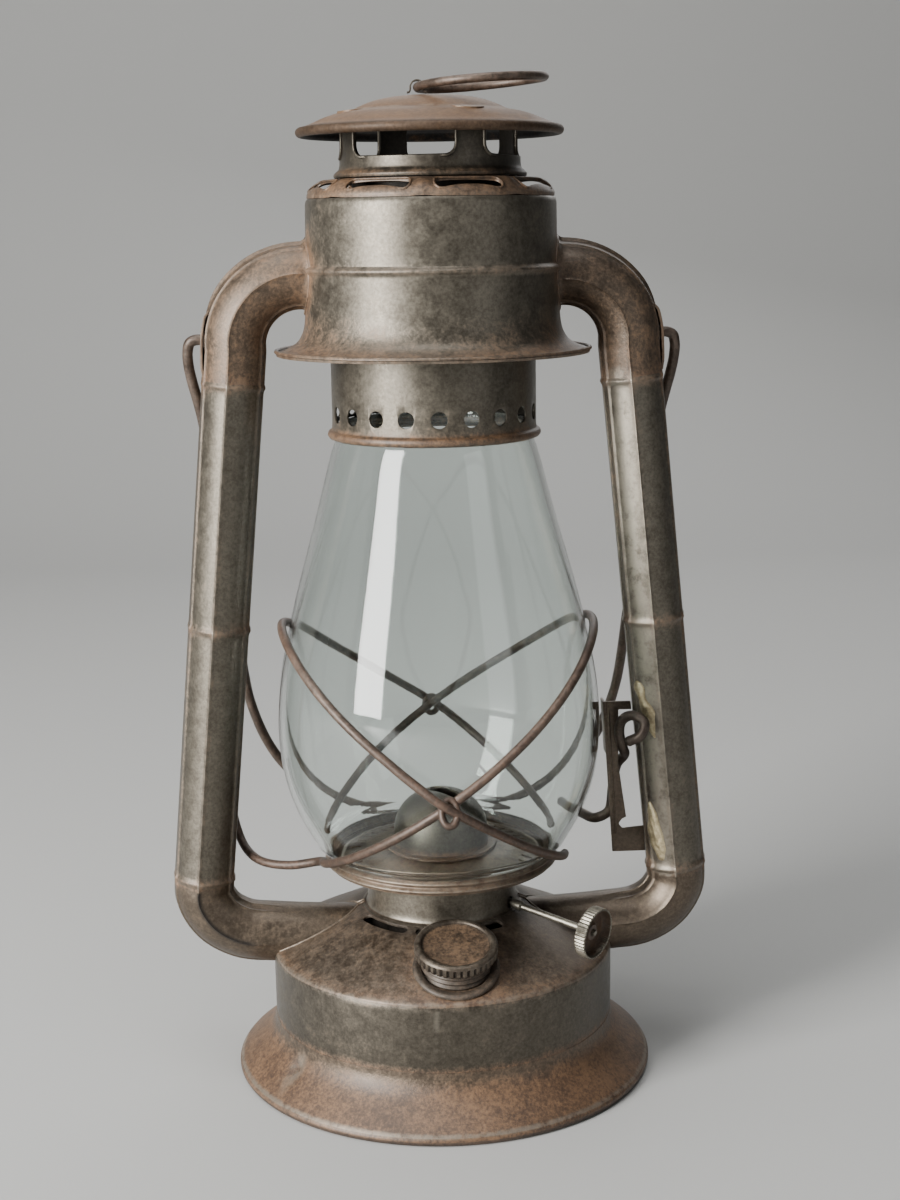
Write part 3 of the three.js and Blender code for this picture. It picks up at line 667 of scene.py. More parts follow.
def duct(name, path, side, ridge, radius, swell=None, fin=None, meet_hood=False, fade=False):
    """A sheet duct with a crease down its face. Angles round it run from the front towards the globe."""
    outer_rings, inner_rings = [], []
    for i, c in enumerate(path):
        t = (path[min(i + 1, len(path) - 1)] - path[max(i - 1, 0)]).normalized()
        out = Vector((t.y, -t.x))
        near_hood = max(i - (len(path) - 5), 0) / 4 if meet_hood else 0
        strength = step(c.x, 50, 60) if fade else 1 - near_hood
        rings = ([], [])
        for k in range(168):
            a = TAU * k / 168
            toward = (degrees(a) + 180) % 360 - 180
            crease = 1.5 * exp(-abs(toward - ridge) / 22) - 0.2 + 0.25 * bell(toward, ridge, 1.6)
            r = radius + strength * crease
            seams = 0.45 * bell(toward, 58, 2.4) + 0.45 * bell(toward, 76, 2.4) + 0.4 * bell(toward, -62, 2.4)
            r += strength * seams
            r += (fin(c) if fin else 0.25) * bell(toward, -90, 3)
            if swell:
                r += swell(c) * (1 - 0.7 * bell(toward, ridge, 3.5)) * (1 - 0.5 * bell(toward, -92, 25))
            for rr, ring in ((r, rings[0]), (radius - SHEET, rings[1])):
                x, z, y = c.x - out.x * rr * sin(a), c.y - out.y * rr * sin(a), -rr * cos(a)
                if near_hood:
                    flare = 1 + 0.13 * near_hood ** 2
                    y, z = y * flare, HEAD_HEIGHT + (z - HEAD_HEIGHT) * flare
                    x += near_hood * (sqrt(37.2 ** 2 - y * y) - 37.0)
                ring.append(Vector((side * x, y, z)))
        outer_rings.append(rings[0])
        inner_rings.append(rings[1])
    verts, faces = tube_mesh(outer_rings + inner_rings[::-1], closed=True)
    return build(name, verts, faces, sharp=45)


def duct_age(side, ridge, base, path=None):
    def crease_shade_line(x, y, z):
        """A painted shade line that carries the crease's shadow on round the lower bend."""
        i = min(range(1, len(path) - 1), key=lambda k: (path[k].x - x) ** 2 + (path[k].y - z) ** 2)
        t = (path[i + 1] - path[i - 1]).normalized()
        across = (path[i].x - x) * t.y - (path[i].y - z) * t.x
        toward = degrees(atan2(across, -y))
        return 0.95 * bell(toward, ridge, 4.5) * step(path[i].x, 57, 61)

    def age(p):
        x, y = side * p.x, p.y
        if not 60 < p.z < 220:
            return base, 0, crease_shade_line(x, y, p.z) if path and y < 0 else 0
        joint = max(bell(p.z, z, 2.2) for z in JOINTS)
        toward = degrees(atan2(centre_x(p.z) - x, -y))
        line = max(bell(toward, ridge, 5), bell(toward, 67, 14), bell(toward, -62, 5))
        outside = bell(toward, -92, 30)
        # Wear along the ridge and joints; on the right duct the side towards the globe gets a painted
        # highlight.
        wear_and_highlight = 0.6 * bell(toward, ridge, 1.6) + 0.15 * joint + 0.6 * (side > 0) * bell(toward, 34, 20)
        return base + 0.4 * joint + 0.25 * line + 0.25 * outside, wear_and_highlight, 0
    return age


def ducts():
    lower, straight, upper = duct_paths()
    for name, side, ridge in (("right", 1, 9), ("left", -1, -6)):
        tube = duct(f"{name}_duct", straight, side, ridge, DUCT,
                    lambda c: 0.5 * max(bell(c.y, z, 0.85) for z in JOINTS))
        finish_piece(tube, PATINA, "frame", f"{name}_tube", duct_age(side, ridge, 0.08))
        low = duct(f"{name}_foot_bend", lower, side, ridge, DUCT + 0.05, fade=True)
        # The left foot bend gets a painted shade line along its crease.
        finish_piece(low, BROWN, "frame", f"{name}_lower_elbow",
                     duct_age(side, ridge, 0.06, lower if side < 0 else None))
        high = duct(f"{name}_head_bend", upper, side, ridge, DUCT + 0.12,
                    fin=lambda c: 0.25 + 0.9 * step(c.y, 231, 240), meet_hood=True)
        finish_piece(high, BROWN, "frame", f"{name}_upper_elbow", duct_age(side, ridge, 0.3))
        foot_seams(name, side, lower)
        hood_weld(name, side)
        bail_ear(name, side)


def cone_height(r):
    return 38.9 + (53 - r) * (52.3 - 38.9) / (53 - 24)


def foot_seams(name, side, path):
    """The soldered line where a duct lies on the cone, front and back."""
    seams = []
    for face in (-1, 1):
        line = []
        for i in range(26):
            x = 51.5 - (51.5 - 24.5) * i / 25
            c = min(path, key=lambda q: abs(q.x - x))
            y = 9.6
            for _ in range(12):
                y = sqrt(max((DUCT + 0.08) ** 2 - (cone_height(hypot(x, y)) - c.y) ** 2, 1))
            line.append(Vector((side * x, face * y, cone_height(hypot(x, y)) + 0.15)))
        seams.append(wire(f"{name}_seam", line, 0.42, 10))
    piece = joined(f"{name}_foot_seam", seams, 60)
    finish_piece(piece, BROWN, "frame", None, (0.3, 0.35, 0))


def hood_weld(name, side):
    """The bead round a duct where it meets the hood."""
    loop = []
    for k in range(72):
        a = TAU * k / 72
        y, z = 10.75 * cos(a), 10.75 * sin(a)
        radius = 37.85 if z < 1 else 37.35 + 0.5 * bell(z, 1, 1)
        loop.append(Vector((side * sqrt(radius ** 2 - y * y), y, HEAD_HEIGHT + z)))
    weld = wire(f"{name}_hood_weld", loop, 0.55, 10, closed=True)
    finish_piece(weld, BROWN, "frame", None, (0.45, 0.1, 0))


def bail_ear(name, side):
    """A strap that lies along the outside of the bend, with a hole for the bail's end."""
    off = ((218.6, 9.2), (219.8, 9.4), (221.4, 9.8), (223.2, 10.0))
    tip = ((0.33, 29.8), (0.36, 29.4), (0.38, 29.1))
    line = [Vector((centre_x(z) + d, z)) for z, d in off] + arc(*ELBOW, 30.0, 1, 17, 5)
    line += [ELBOW + Vector((cos(a), sin(a))) * r for a, r in tip]
    strap = prism("strap", sheet(smooth(line, 3), 0.75), -4, 4, UPRIGHT)
    cut(strap, [round_hole((0, BAIL_HEIGHT), 2.3, 60, 90, 28)], 0.18)
    if side < 0:
        strap.data.transform(Matrix.Rotation(pi, 4, "Z"))
    strap.name = f"{name}_ear"
    finish_piece(strap, BROWN, "frame", f"{name}_bail_ear", (0.4, 0.1, 0))


# ---- Hood ----

def hood():
    mouth = smooth([(47.2, 225.25), (43.6, 226.5), (40.6, 228.4), (38.9, 231.3), (38.15, 235), (38, 240)], 7)
    ridge = []
    for i in range(25):
        t = i / 24
        drawn_in = 0.6 * min(max(t - 0.62, 0) / 0.2, 1)
        ridge.append((37.98 - drawn_in + 0.75 * bell(t, 0.5, 0.2), 247.2 + 4.4 * t))
    top = [(37.35, 256), (37.3, 265), (37.25, 268.4), (37.0, 269.5), (36.5, 270.0)]
    shell = sheet(mouth + ridge + top)
    edge = arc(46.95, 225.65, 0.62, 200, -20, 6)

    body = lathe("hood_shell", shell, 240, uneven(0.13, 1.6, 0.05))
    cut(body, [round_hole((0, HEAD_HEIGHT), DUCT - 0.75, -60, 60)])
    roll = lathe("roll", edge, 240)
    body = joined("hood_shell", [body, roll])

    def age(p):
        r = radius_of(p)
        flare = min(max((r - 38.6) / 5, 0), 1)
        ridge_here = bell(p.z, 249.6, 1.9)
        side = abs(cos(radians(angle_of(p)))) ** 3
        low = bell(p.z, 232, 6)
        around_duct = bell(hypot(p.y, p.z - HEAD_HEIGHT), 11.5, 3.0) * (r > 37)
        inside = 1.0 if r < 36.9 and p.z < 268 else 0.0
        return (-0.05 + 0.5 * flare + 0.45 * ridge_here + 0.3 * side + 0.3 * low + 0.5 * around_duct,
                0.1 * flare + 0.25 * ridge_here + 0.15 * bell(r, 46.9, 0.6), 0.5 * inside)

    finish_piece(body, PATINA, "frame", "hood", age)


def height_on(line, radius):
    """The height of a falling or rising profile at a radius."""
    a, b = min(zip(line, line[1:]), key=lambda pair: abs((pair[0].x + pair[1].x) / 2 - radius))
    return a.y + (b.y - a.y) * (radius - a.x) / ((b.x - a.x) or 1)


def vent_ring():
    line = smooth([(36.6, 270.1), (36.55, 271.1), (35.6, 272.6), (33.6, 274.1), (31.4, 275.15),
                   (29.6, 275.5)], 6)
    line += smooth([(29.0, 275.2), (26, 275.0), (24.4, 275.0)], 2)

    def bars(r, z, a):
        turned = (degrees(a) - (-74 + 22.5)) % 45
        near = bell(min(turned, 45 - turned), 0, 4.2)
        return r, z + 0.75 * near * bell(r, 33.7, 2.6)

    ring = lathe("slotted_ring", sheet(line), 288, bars)
    opening = rounded(radians(34) * 33.9, 4.1, 1.7)
    middles = [-74 + 45 * i for i in range(8)]
    cut(ring, [polar_slot(opening, m, 33.9, 262, 285) for m in middles])
    lips = []
    for m in middles:
        places = [(radians(m) + x / 33.9, 33.9 + 1.03 * y) for x, y in opening]
        lips.append(wire("lip", [Vector((r * cos(a), r * sin(a), height_on(line, r) + 0.05))
                                 for a, r in places], 0.38, 8, closed=True))
    ring = joined("slotted_ring", [ring, *lips], 40)

    def age(p):
        return 0.45, 0.15 * bell(radius_of(p), 36.6, 0.4), 0.8 * (p.z < 274.2 and radius_of(p) < 30)

    finish_piece(ring, BROWN, "frame", "vent_ring", age)


# ---- Chimney ----

def chimney():
    line = smooth([(30.7, 199.3), (31.7, 199.7), (32.2, 200.6), (31.9, 201.6), (31, 202.3), (30.8, 203.6)], 5)
    line += [Vector((30.8, z)) for z in (206, 212, 220, 229)]
    line += smooth([(30.7, 230.6), (30.1, 231.9), (29, 232.5), (25.7, 232.7)], 4)
    collar = lathe("collar", sheet(line, 0.6), 240, uneven(0.08, 2, 0.1))
    punched = [window(arc(0, 0, 2.45, 0, 360, 24)[:-1], 18 * i - 90, 207.2, 26, 35, 30.8) for i in range(20)]
    cut(collar, punched, 0.12)
    finish_piece(collar, PATINA, "chimney", "chimney_collar", lambda p: (
        0.02 + 0.75 * bell(p.z, 201, 2.2) + 0.2 * bell(p.z, 207, 4),
        0.1 * bell(p.z, 200.5, 1), 0.6 * (radius_of(p) < 30.3)))

    inner = smooth([(28.2, 233.2), (25, 234.6), (23.3, 236.8), (23.2, 240)], 5)
    inner += [Vector((23.2, 276.5)), Vector((23.6, 277.6)), Vector((25.2, 278.4)), Vector((25.2, 280.2))]
    pipe = lathe("flue_pipe", sheet(inner, 0.6), 96)
    finish_piece(pipe, SOOTED, "chimney", "flue", (0.2, 0, 0.3))

    wall = smooth([(28.4, 275.9), (28.5, 276.7), (27.9, 277.5), (27.1, 278.2), (26.75, 279.4),
                   (26.65, 281)], 5)
    wall += [Vector((26.6, z)) for z in (284, 288, 291, 292.3)]
    ring = lathe("neck_ring", sheet(wall), 240)
    opening = rounded(radians(70) * 26.6, 11.6, 3.4)
    middles = [-112 + 90 * i for i in range(4)]
    cut(ring, [window(opening, m, 287.3, 20, 34, 26.6) for m in middles], 0.2)
    lips = []
    for m in middles:
        angles = [(radians(m) + x / 26.6 * 1.012, 287.3 + y * 1.03) for x, y in opening]
        loop = [Vector((26.75 * cos(a), 26.75 * sin(a), min(z, 292.0))) for a, z in angles]
        lips.append(wire("lip", loop, 0.5, 10, closed=True))
    ring = joined("neck_ring", [ring, *lips], 40)
    # The neck is darkened inside with soot, and on its right-hand side with painted shade.
    finish_piece(ring, DARK_PATINA, "chimney", "neck", lambda p: (
        0.12 + 0.4 * bell(p.z, 277, 1.4), 0.3 * bell(p.z, 281.6, 0.6),
        0.55 * (radius_of(p) < 26.2) + 0.35 * bell(angle_of(p), -20, 35)))
    canopy()
    spring()


def canopy():
    crown = smooth([(0, 299.45), (6, 299.3), (12, 298.7), (17, 297.6), (20.5, 296.3), (22.8, 295.2)], 6)
    brim = smooth([(24.2, 294.85), (28, 294.1), (32, 292.7), (35.5, 291.2), (37.2, 290.6)], 5)
    bead = arc(38.0, 289.0, 1.42, 85, -180, 16)
    under = smooth([(36.0, 289.9), (33, 290.7), (29.5, 292.3), (26, 293.4), (22.6, 294.2)], 3)
    under += smooth([(15, 296.9), (8, 298.2), (0, 298.6)], 3)

    def wavy(r, z, a):
        wave = 0.12 * noise.noise(Vector((cos(a) * r * 0.06, sin(a) * r * 0.06, 3.0)))
        return r, z + (wave if r < 37 else 0)

    dome = lathe("canopy_dome", crown + brim + bead + under, 240, wavy, sharp=50)

    def age(p):
        rim = 1.0 if radius_of(p) > 37.0 else 0.0
        return 0.75 - 0.75 * rim, 0.2 * bell(radius_of(p), 22.6, 0.5) * (p.z > 294.6), 0.5 * rim

    finish_piece(dome, CANOPY, "chimney", "canopy", age)
    # Every downward face inside the rim is set fully dark in the age layer's soot-and-shade channel.
    soot_and_shade = dome.data.color_attributes["age"]
    for polygon in dome.data.polygons:
        if polygon.normal.z < -0.2:
            for v in polygon.vertices:
                if radius_of(dome.data.vertices[v].co / MM) < 38:
                    soot_and_shade.data[v].color = (0.1, 0, 1, 1)

    tabs = []
    for middle in (-67, 23, 113, 203):
        def place(u, v, raised):
            reach = v * sqrt(max(1 - u * u, 0))
            r = 23.9 + reach * 4.9
            a = radians(middle) + u * 5.6 / 27
            z = height_on(brim, max(r, 24.3)) + (0.1 + 0.45 * reach if raised else -0.3)
            return Vector((r * cos(a), r * sin(a), z))
        tabs.append(patch("tab", 6, 20, place))
    finish_piece(joined("canopy_tabs", tabs, 50), CANOPY, "chimney", None, (0.7, 0.1, 0))


def patch(name, rows, columns, place):
    """A thin plate: place(u, v, raised) gives its upper and lower skins, u from -1 to 1 and v from 0 to 1."""
    grid = [(2 * k / columns - 1, i / rows) for i in range(rows + 1) for k in range(columns + 1)]
    verts = [place(u, v, True) for u, v in grid] + [place(u, v, False) for u, v in grid]
    wide, base = columns + 1, len(grid)
    upper = [[i * wide + k, i * wide + k + 1, (i + 1) * wide + k + 1, (i + 1) * wide + k]
             for i in range(rows) for k in range(columns)]
    rim = list(range(wide)) + [i * wide + columns for i in range(1, rows + 1)]
    rim += [rows * wide + k for k in range(columns - 1, -1, -1)] + [i * wide for i in range(rows - 1, 0, -1)]
    sides = [[a, b, b + base, a + base] for a, b in zip(rim, rim[1:] + rim[:1])]
    return build(name, verts, upper + [[base + c for c in f[::-1]] for f in upper] + sides, sharp=50)


def spring():
    path = []
    for i in range(5 * 28 + 1):
        a = TAU * i / 28
        path.append(Vector((26.2 * cos(a), 26.2 * sin(a), 238.6 + 34 * i / 140)))
    coil = wire("coil", path, 0.7, 10)
    finish_piece(coil, SOOTED, "chimney", "chimney_spring", (0.3, 0, 0))
    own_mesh(coil)


def lift_ring():
    tilt = Matrix.Translation((-3.5, 0, 301.6)) @ Matrix.Rotation(radians(-4), 4, "Y")
    path = []
    for i in range(120):
        a = TAU * i / 120
        r = 18.7 + 0.15 * sin(3 * a + 1)
        path.append(tilt @ Vector((18.7 + r * cos(a), r * sin(a), 0.12 * sin(2 * a))))
    ring = wire("ring", path, 1.28, 18, closed=True)
    finish_piece(ring, WIRE, "ring", "lift_ring", lambda p: (
        0.2, 0.12 * bell(p.z, 304, 2), 0.12))
    half = [(2.9, 299.9), (2.1, 300.1), (1.75, 301.0), (1.7, 302.0), (1.05, 303.0), (0, 303.35)]
    hoop = smooth([(-x, z) for x, z in half] + half[-2::-1], 5)
    strap = prism("eye", sheet(hoop, 0.45), -1.5, 1.5, Matrix.Translation((-3.5, 0, 0)) @ UPRIGHT)
    soften(strap, 0.12)
    finish_piece(strap, PATINA, "chimney", "ring_eye", (0.3, 0, 0.5))


# ---- Bail ----

def bail():
    half = [(67.2, 0), (70.8, 0), (72.5, -0.9), (73.3, -3.6), (73.3, -8), (72.6, -13), (71.4, -19),
            (69.9, -28), (66.7, -60), (63.6, -96), (60.2, -129), (52, -150.5), (38, -166), (20, -173.5)]
    flat = half + [(0, -175.5)] + [(-x, z) for x, z in reversed(half)]
    place = Matrix.Translation((0, 0, BAIL_HEIGHT)) @ Matrix.Rotation(radians(18), 4, "X")
    path = [place @ Vector((p.x, 0, p.y)) for p in smooth(flat, 9)]
    handle = wire("handle", path, 1.6, 18)
    finish_piece(handle, WIRE, "bail", "bail", (0.15, 0.1, 0.25))


# ---- Globe, plate, guard ----

GLOBE_LINE = [(39.2, 73), (44.7, 83.3), (48.5, 95), (49.9, 109), (48.9, 125), (44.9, 145), (36.2, 176.8),
              (31.1, 195.8), (29.5, 200)]


def globe():
    line = smooth([(35.2, 67.6), (35.35, 69.2), (36.0, 71.0), (37.6, 72.2)], 4)[:-1] + smooth(GLOBE_LINE, 9)
    line += [(29.4, 202.4), (29.35, 204.4)]
    outline = sheet(line, 1.8)
    glass = lathe("globe_glass", outline, 200, uneven(0.1, 1, 0.03), sharp=60)
    soften(glass, 0.5, 3)
    finish_piece(glass, GLASS, "carriage", "globe")


def globe_plate():
    rim = [(24.9, 66.9), (31.4, 66.9), (32.6, 65.9), (35.4, 65.75)]
    beads = [Vector((36.05 - 0.55 * cos(TAU * t / 12), 65.9 + 4.6 * t / 24)) for t in range(25)]
    inner = [Vector((p.x - 0.62, p.y)) for p in beads][::-1]
    top = smooth([(34.9, 66.5), (33.0, 66.6), (31.9, 67.7), (31.2, 67.75)], 3)
    top += smooth([(30.8, 67.5), (24, 68.7), (18, 69.8), (15.6, 70.1)], 4)
    outline = [*rim, *beads, *inner, *top, (15.6, 69.45), (24, 67.9)]
    plate = lathe("globe_seat", outline, 220, sharp=50)
    slots = []
    for i in range(44):
        slots.append(polar_slot(rounded(1.1, 3.6, 0.5, 3), 360 / 44 * i, 27.6, 60, 75))
    cut(plate, slots)

    def age(p):
        r = radius_of(p)
        wear_and_highlight = 0.3 + 0.6 * bell(r, 31.4, 0.5) * (p.z > 67.3) + 0.15 * bell(r, 36.6, 0.35)
        return 0.45 + 0.4 * bell(r, 17, 2), wear_and_highlight, 0.1 * (r < 31) + 0.15 * bell(r, 26, 4)

    finish_piece(plate, BROWN, "carriage", "globe_plate", age)

    dome = smooth([(14.85, 70.9), (14.9, 74.5), (14.3, 78.6), (12.4, 82.6), (9.2, 85.8), (5, 87.7),
                   (0, 88.2)], 6)
    inside = [Vector((max(p.x - 0.7, 0), p.y - 0.7 * max((p.y - 74) / 14, 0))) for p in dome][::-1]
    foot = smooth([(17.6, 70.5), (17.4, 71.0), (15.6, 71.1)], 3)
    outline = [(14.2, 64.2), (14.7, 64.2), (14.7, 70.4), *foot, *dome, *inside]
    cone = lathe("burner_dome", outline, 120, sharp=50)
    slit = prism("cutter", rounded(16.4, 4.8, 2.2), 80, 95, Matrix.Rotation(BURNER, 4, "Z"))
    cut(cone, [slit], 0.15)
    finish_piece(cone, PATINA, "carriage", "burner_cone", lambda p: (
        0.05 + 0.8 * bell(p.z, 71, 1.3), 0, 0.25 * (p.z > 80)))


GLOBE_SAMPLES = smooth([(35, 67.4), (35.6, 70.6), *GLOBE_LINE], 8)


def glass_radius(z):
    for a, b in zip(GLOBE_SAMPLES, GLOBE_SAMPLES[1:]):
        if a.y <= z <= b.y:
            return a.x + (b.x - a.x) * (z - a.y) / (b.y - a.y)
    return 35.0


WIRE_GAP = 1.95  # from the glass to the middle of a guard wire


def guard_loop(mirror, outside):
    """One wire's way round the globe, leaning over; outside takes it over the other at the sides."""
    path = []
    for i in range(37):
        a = radians(-160 + 9 * i)
        z = 102 + 36.5 * cos(a) + 3.5 * cos(2 * a) + 4.5 * bell(a, pi / 2, 0.7)
        bulge = 3.1 * outside * bell(abs(a), pi / 2, 0.2)
        widest = max(36.6, *(glass_radius(z + d) for d in (-1.8, 0, 1.8)))
        r = widest + WIRE_GAP + bulge
        path.append(Vector((mirror * r * cos(a), r * sin(a), z)))
    return path


def guard():
    guide = [Vector(p) for p in ((-66, 14.5, 92), (-66.6, 13.8, 84), (-65.2, 11, 76), (-62.6, 6.5, 70),
                                 (-59, 1, 67.4), (-54.5, -3.6, 66.8), (-47, -8, 67.4))]
    high_right = wire("guard_high_right", smooth(guide + guard_loop(1, 0), 5), 1.38, 16)
    high_left = wire("guard_high_left", smooth(guard_loop(-1, 1), 5), 1.38, 16)

    def age(p):
        return 0.3, 0.12 * bell(p.z, 130, 20), 0.12

    finish_piece(high_right, WIRE, "carriage", "guard_wire_a", age)
    finish_piece(high_left, WIRE, "carriage", "guard_wire_b", age)
    for face, name, z in ((-1, "front", 98.5), (1, "back", 103)):
        r = glass_radius(z) + WIRE_GAP
        middle = Vector((0, face * (r + 1.5), z))
        path = []
        for i in range(34):
            a = TAU * 1.05 * i / 33
            up = sin(a)
            path.append(middle + Vector((2.25 * cos(a), face * (1.1 - 1.798 * up), 3.4 * up - 1.2)))
        twist = wire(f"guard_twist_{name}", path, 1.05, 12)
        finish_piece(twist, WIRE, "carriage", None, age)


def lift():
    rod = wire("hooked_rod", smooth([
        (43.5, 24, 74), (46.5, 12, 74.8), (50, 4.6, 75.6), (53.8, 3.2, 78.2), (55, 3, 86), (56.2, 2.9, 93.5),
        (58.3, 0, 97.6), (57.2, -3.6, 101), (56, -4.4, 106), (56.6, -6.2, 110.4), (59.4, -9, 112.6),
        (62.6, -12, 111), (61.6, -13.2, 107.6), (57.8, -11.6, 105)], 8), 1.6, 18)
    finish_piece(rod, WIRE, "carriage", "lift_rod", (0.05, 0.05, 0.3))

    def side(z):
        return centre_x(z) - DUCT - 0.2

    outline = [(54.4, 66), (side(67) + 0.3, 66), (side(74) + 0.3, 74.3)]
    outline += smooth([(57.6, 73.7), (56.5, 75.2), (57.5, 76.8)], 5)
    outline += [(58.8, 77.4), (56.2, 95), (56.2, 112.5), (side(112) - 0.1, 112.5), (side(115) - 0.1, 115.2),
                (51.2, 115.2)]
    plate = prism("plate", outline, 0.4, 1.2, UPRIGHT)
    soften(plate, 0.2)
    fold = prism("fold", [(52.3, 98), (53.1, 98), (52.0, 115.2), (51.2, 115.2)], -4.6, 1.4, UPRIGHT)
    soften(fold, 0.2)
    crease = wire("crease", [Vector((52.9 + 0.06 * (115 - z), -1.25, z)) for z in range(72, 115, 3)], 0.35, 8)
    bracket = joined("bracket", [plate, fold, crease], 40)
    finish_piece(bracket, BROWN, "frame", "lift_bracket", lambda p: (
        0.12, 0.22 * bell(p.z, 70, 3), 0.1))
    solder("solder_high", (104, 6, 34), (123, 32, 74), 5)
    solder("solder_low", (64.5, 6, 62), (84, 34, 66), 9)


def solder(name, foot, head, seed):
    """A rough patch of solder on the right duct, between two heights, each with two angles from the front."""
    def place(u, v, raised):
        z = foot[0] + (head[0] - foot[0]) * v
        left, right = (low + (high - low) * v for low, high in zip(foot[1:], head[1:]))
        bulge = max(1 - (2 * v - 1) ** 2, 0)
        narrow = sqrt(bulge) * (0.75 + 0.5 * noise.noise(Vector((seed, 4, v * 5))))
        middle = (left + right) / 2 + 6 * noise.noise(Vector((seed, v * 3.1, 0)))
        a = radians(middle + (right - left) / 2 * u * narrow)
        lump = (1 - u * u) * bulge
        r = DUCT + 0.1 + 0.85 * lump ** 0.4 + 0.3 * noise.noise(Vector((z * 0.55, a * 8, seed))) * lump
        r = r if raised else DUCT - 0.8
        return Vector((centre_x(z) - r * sin(a), -r * cos(a), z))

    finish_piece(patch(name, 30, 26, place), SOLDER, "frame", None, (0.2, 0.1, 0))


# ---- Burner ----

BURNER = radians(-40)
SLOPE = radians(6.1)
ALONG = Vector((cos(BURNER) * cos(SLOPE), sin(BURNER) * cos(SLOPE), -sin(SLOPE)))
ASIDE = Vector((sin(BURNER), -cos(BURNER), 0))
SHAFT_START = Vector((ASIDE.x * -5, ASIDE.y * -5, 56.4))
UPWARD = ALONG.cross(ASIDE)
KNOB = 54
SHAFT_FRAME = Matrix((
    (ASIDE.x, UPWARD.x, ALONG.x, SHAFT_START.x), (ASIDE.y, UPWARD.y, ALONG.y, SHAFT_START.y),
    (ASIDE.z, UPWARD.z, ALONG.z, SHAFT_START.z), (0, 0, 0, 1)))


def wick_parts():
    far = SHAFT_FRAME @ Vector((0, 0, KNOB + 1))
    near = SHAFT_FRAME @ Vector((0, 0, -7))
    outline = [(0, -8), (1.08, -8), (1.08, KNOB + 0.1), (0.8, KNOB + 0.8), (0, KNOB + 1)]
    rod = lathe("rod", outline, 32, matrix=SHAFT_FRAME)
    outline = [(1.12, 24.2), (1.5, 24.3), (1.62, 24.9), (1.62, 27.4), (1.12, 28)]
    sleeve = lathe("sleeve", outline, 32, matrix=SHAFT_FRAME)
    shaft = joined("shaft", [rod, sleeve])
    finish_piece(shaft, ZINC, "wick_wheel", "wick_shaft", lambda p: (
        0.2 + 0.3 * bell((p - far).length, 6, 7), 0.35, 0.3 * bell((p - near).length, 10, 18)))

    def knurled(r, z, a):
        if r > 7.6 and KNOB - 1.6 < z < KNOB + 1.9:
            r -= 0.3 * (0.5 + 0.5 * cos(44 * a))
        return r, z

    outline = [(1.2, -2.0), (6.4, -2.0), *arc(7.2, -1.2, 0.8, -90, 0, 5), (8.0, -0.6), (8.0, 1.4)]
    outline += [*arc(7.65, 1.5, 0.35, 10, 180, 6), (7.25, -0.7), (6.8, -1.25), (3.4, -1.35), (2.9, -1.0),
                (2.4, -0.2), (1.2, -0.1)]
    cup = lathe("cup", [(r, z + KNOB) for r, z in outline], 264, knurled, matrix=SHAFT_FRAME)
    tab = prism("tab", rounded(2.6, 1.2, 0.4, 4), KNOB - 1.6, KNOB + 0.7,
                SHAFT_FRAME @ Matrix.Rotation(radians(8), 4, "Z") @ Matrix.Translation((0, 7.6, 0)))
    knob = joined("knob", [cup, tab], 40)
    centre = SHAFT_FRAME @ Vector((0, 0, KNOB))

    def age(p):
        d = p - centre
        along = d.dot(ALONG)
        r = (d - ALONG * along).length
        inside = r < 7.3 and along > -1.6
        return 1.0 if inside else 0.15, 0.4 * bell(r, 7.8, 0.4), 0.3 * inside

    finish_piece(knob, ZINC, "wick_wheel", "wick_knob", age)

    strip = prism("wick_strip", rounded(15, 2.2, 1.05, 5), 20, 83, Matrix.Rotation(BURNER, 4, "Z"))
    soften(strip, 0.25)
    finish_piece(strip, COTTON, "wick", "wick")


# ---- Filler ----

CAP_FRAME = Matrix.Translation((2, -38.9, 45.6)) @ Matrix.Rotation(radians(16), 4, "X")


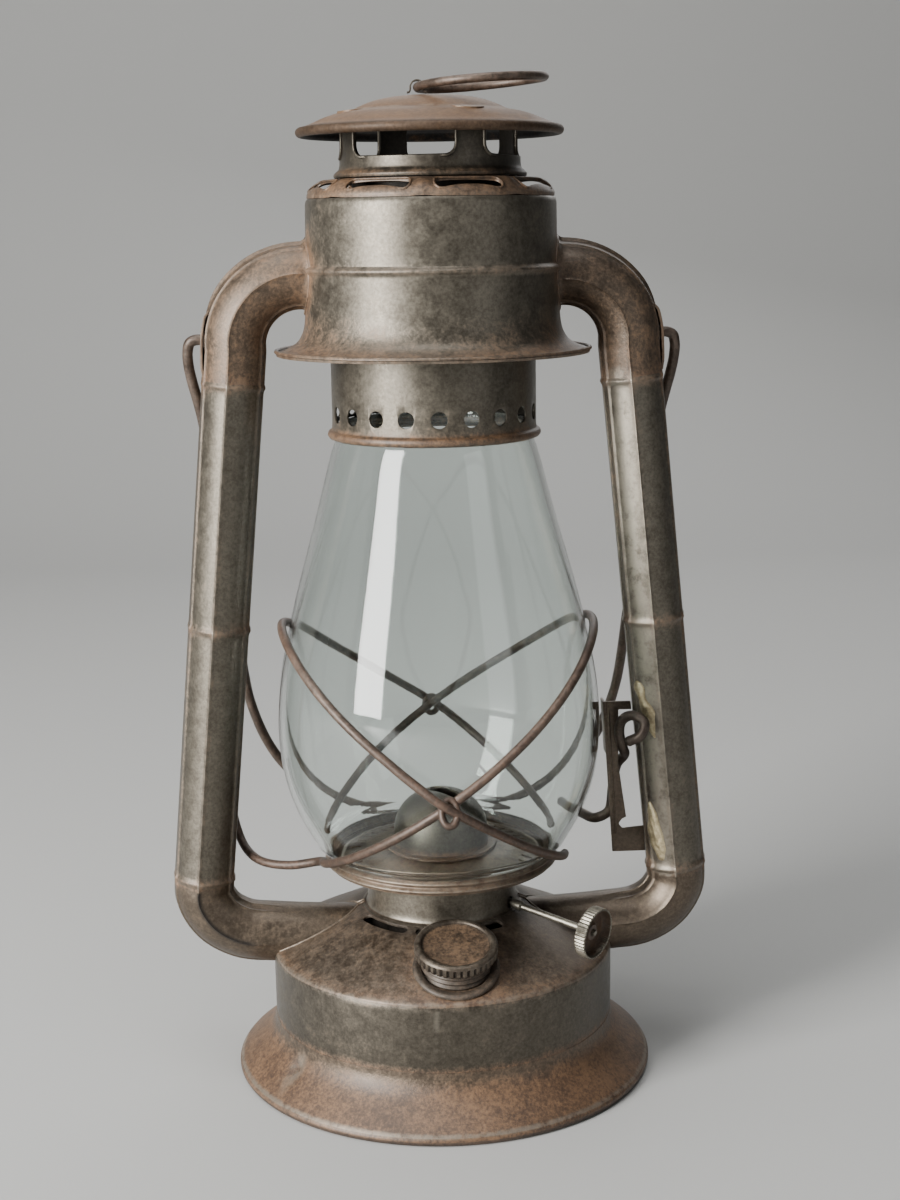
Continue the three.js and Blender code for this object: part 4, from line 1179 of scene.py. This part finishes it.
def filler():
    threads = [(10.35 + 0.3 * sin(TAU * i / 8), -1.6 + 5.0 * i / 24) for i in range(25)]
    outline = [(9.4, -5), (10.3, -5), *threads, (10.2, 4.6), (9.4, 4.6)]
    neck = lathe("neck", outline, 96, matrix=CAP_FRAME)
    rise = (52.4 - 38.7) / 30
    lay = Matrix.Translation((2, -40.2, 38.7 + 13.3 * rise)) @ Matrix.Rotation(atan(rise), 4, "X")
    edge = smooth([(13.1, 0.3), (12.9, 0.95), (12.2, 1.35), (11.2, 1.2), (10.6, 1.0)], 4)
    flange = lathe("flange", [*edge, (10.2, 0.5), (10.2, 0.1)], 96, matrix=lay)
    piece = joined("filler_throat", [neck, flange])
    finish_piece(piece, PATINA, "frame", "filler_neck", (0.5, 0.1, 0.55))

    top = smooth([(0, 6.75), (6, 6.8), (9.0, 6.95), (9.9, 7.1)], 4)[:-1]
    rim = smooth([(10.1, 7.2), (10.6, 7.65), (11.4, 7.8), (12.1, 7.55), (12.5, 7.0), (12.55, 6.5)], 4)
    side = [(12.55, 6.1), (12.55, 5.5), (12.5, 4.9), (12.35, 4.4), (12.0, 3.9), (11.5, 3.72)]
    inside = [(11.1, 3.7), (11.1, 6.1), (0, 6.1)]

    def knurled(r, z, a):
        if r > 11.6 and z < 6.9:
            groove = max(cos(38 * a), -0.2) + 0.2
            depth = 0.62 * min(max((6.9 - z) / 0.5, 0), 1)
            r -= depth * groove / 1.2
        return r, z

    cap = lathe("screw_cap", top + rim + side + inside, 380, knurled, CAP_FRAME, sharp=50)
    back = CAP_FRAME.inverted()

    def age(p):
        q = back @ p
        r = hypot(q.x, q.y)
        groove = bell(r, 11.9, 0.3) * (q.z < 6.9)
        crest = bell(r, 12.5, 0.18) * (q.z < 7.2)
        return (0.5 if r < 9.8 else 0.1), 0.25 * crest + 0.25 * bell(q.z, 7.75, 0.25), 0.7 * groove + 0.15

    finish_piece(cap, CAP_STEEL, "cap", "filler_cap", age)


# ---- The whole lantern ----

base_skirt()
fount()
air_drum()
ducts()
hood()
vent_ring()
chimney()
lift_ring()
bail()
globe()
globe_plate()
guard()
lift()
wick_parts()
filler()

for node, material in {
    "fount_bottom": SOOTED, "air_pan": SOOTED, "burner_body": SOOTED, "wick_tube": SOOTED,
    "spur_wheel_near": ZINC, "spur_wheel_far": ZINC, "filler_gasket": CORK,
}.items():
    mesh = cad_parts[node].data
    mesh.materials.clear()
    mesh.materials.append(material)
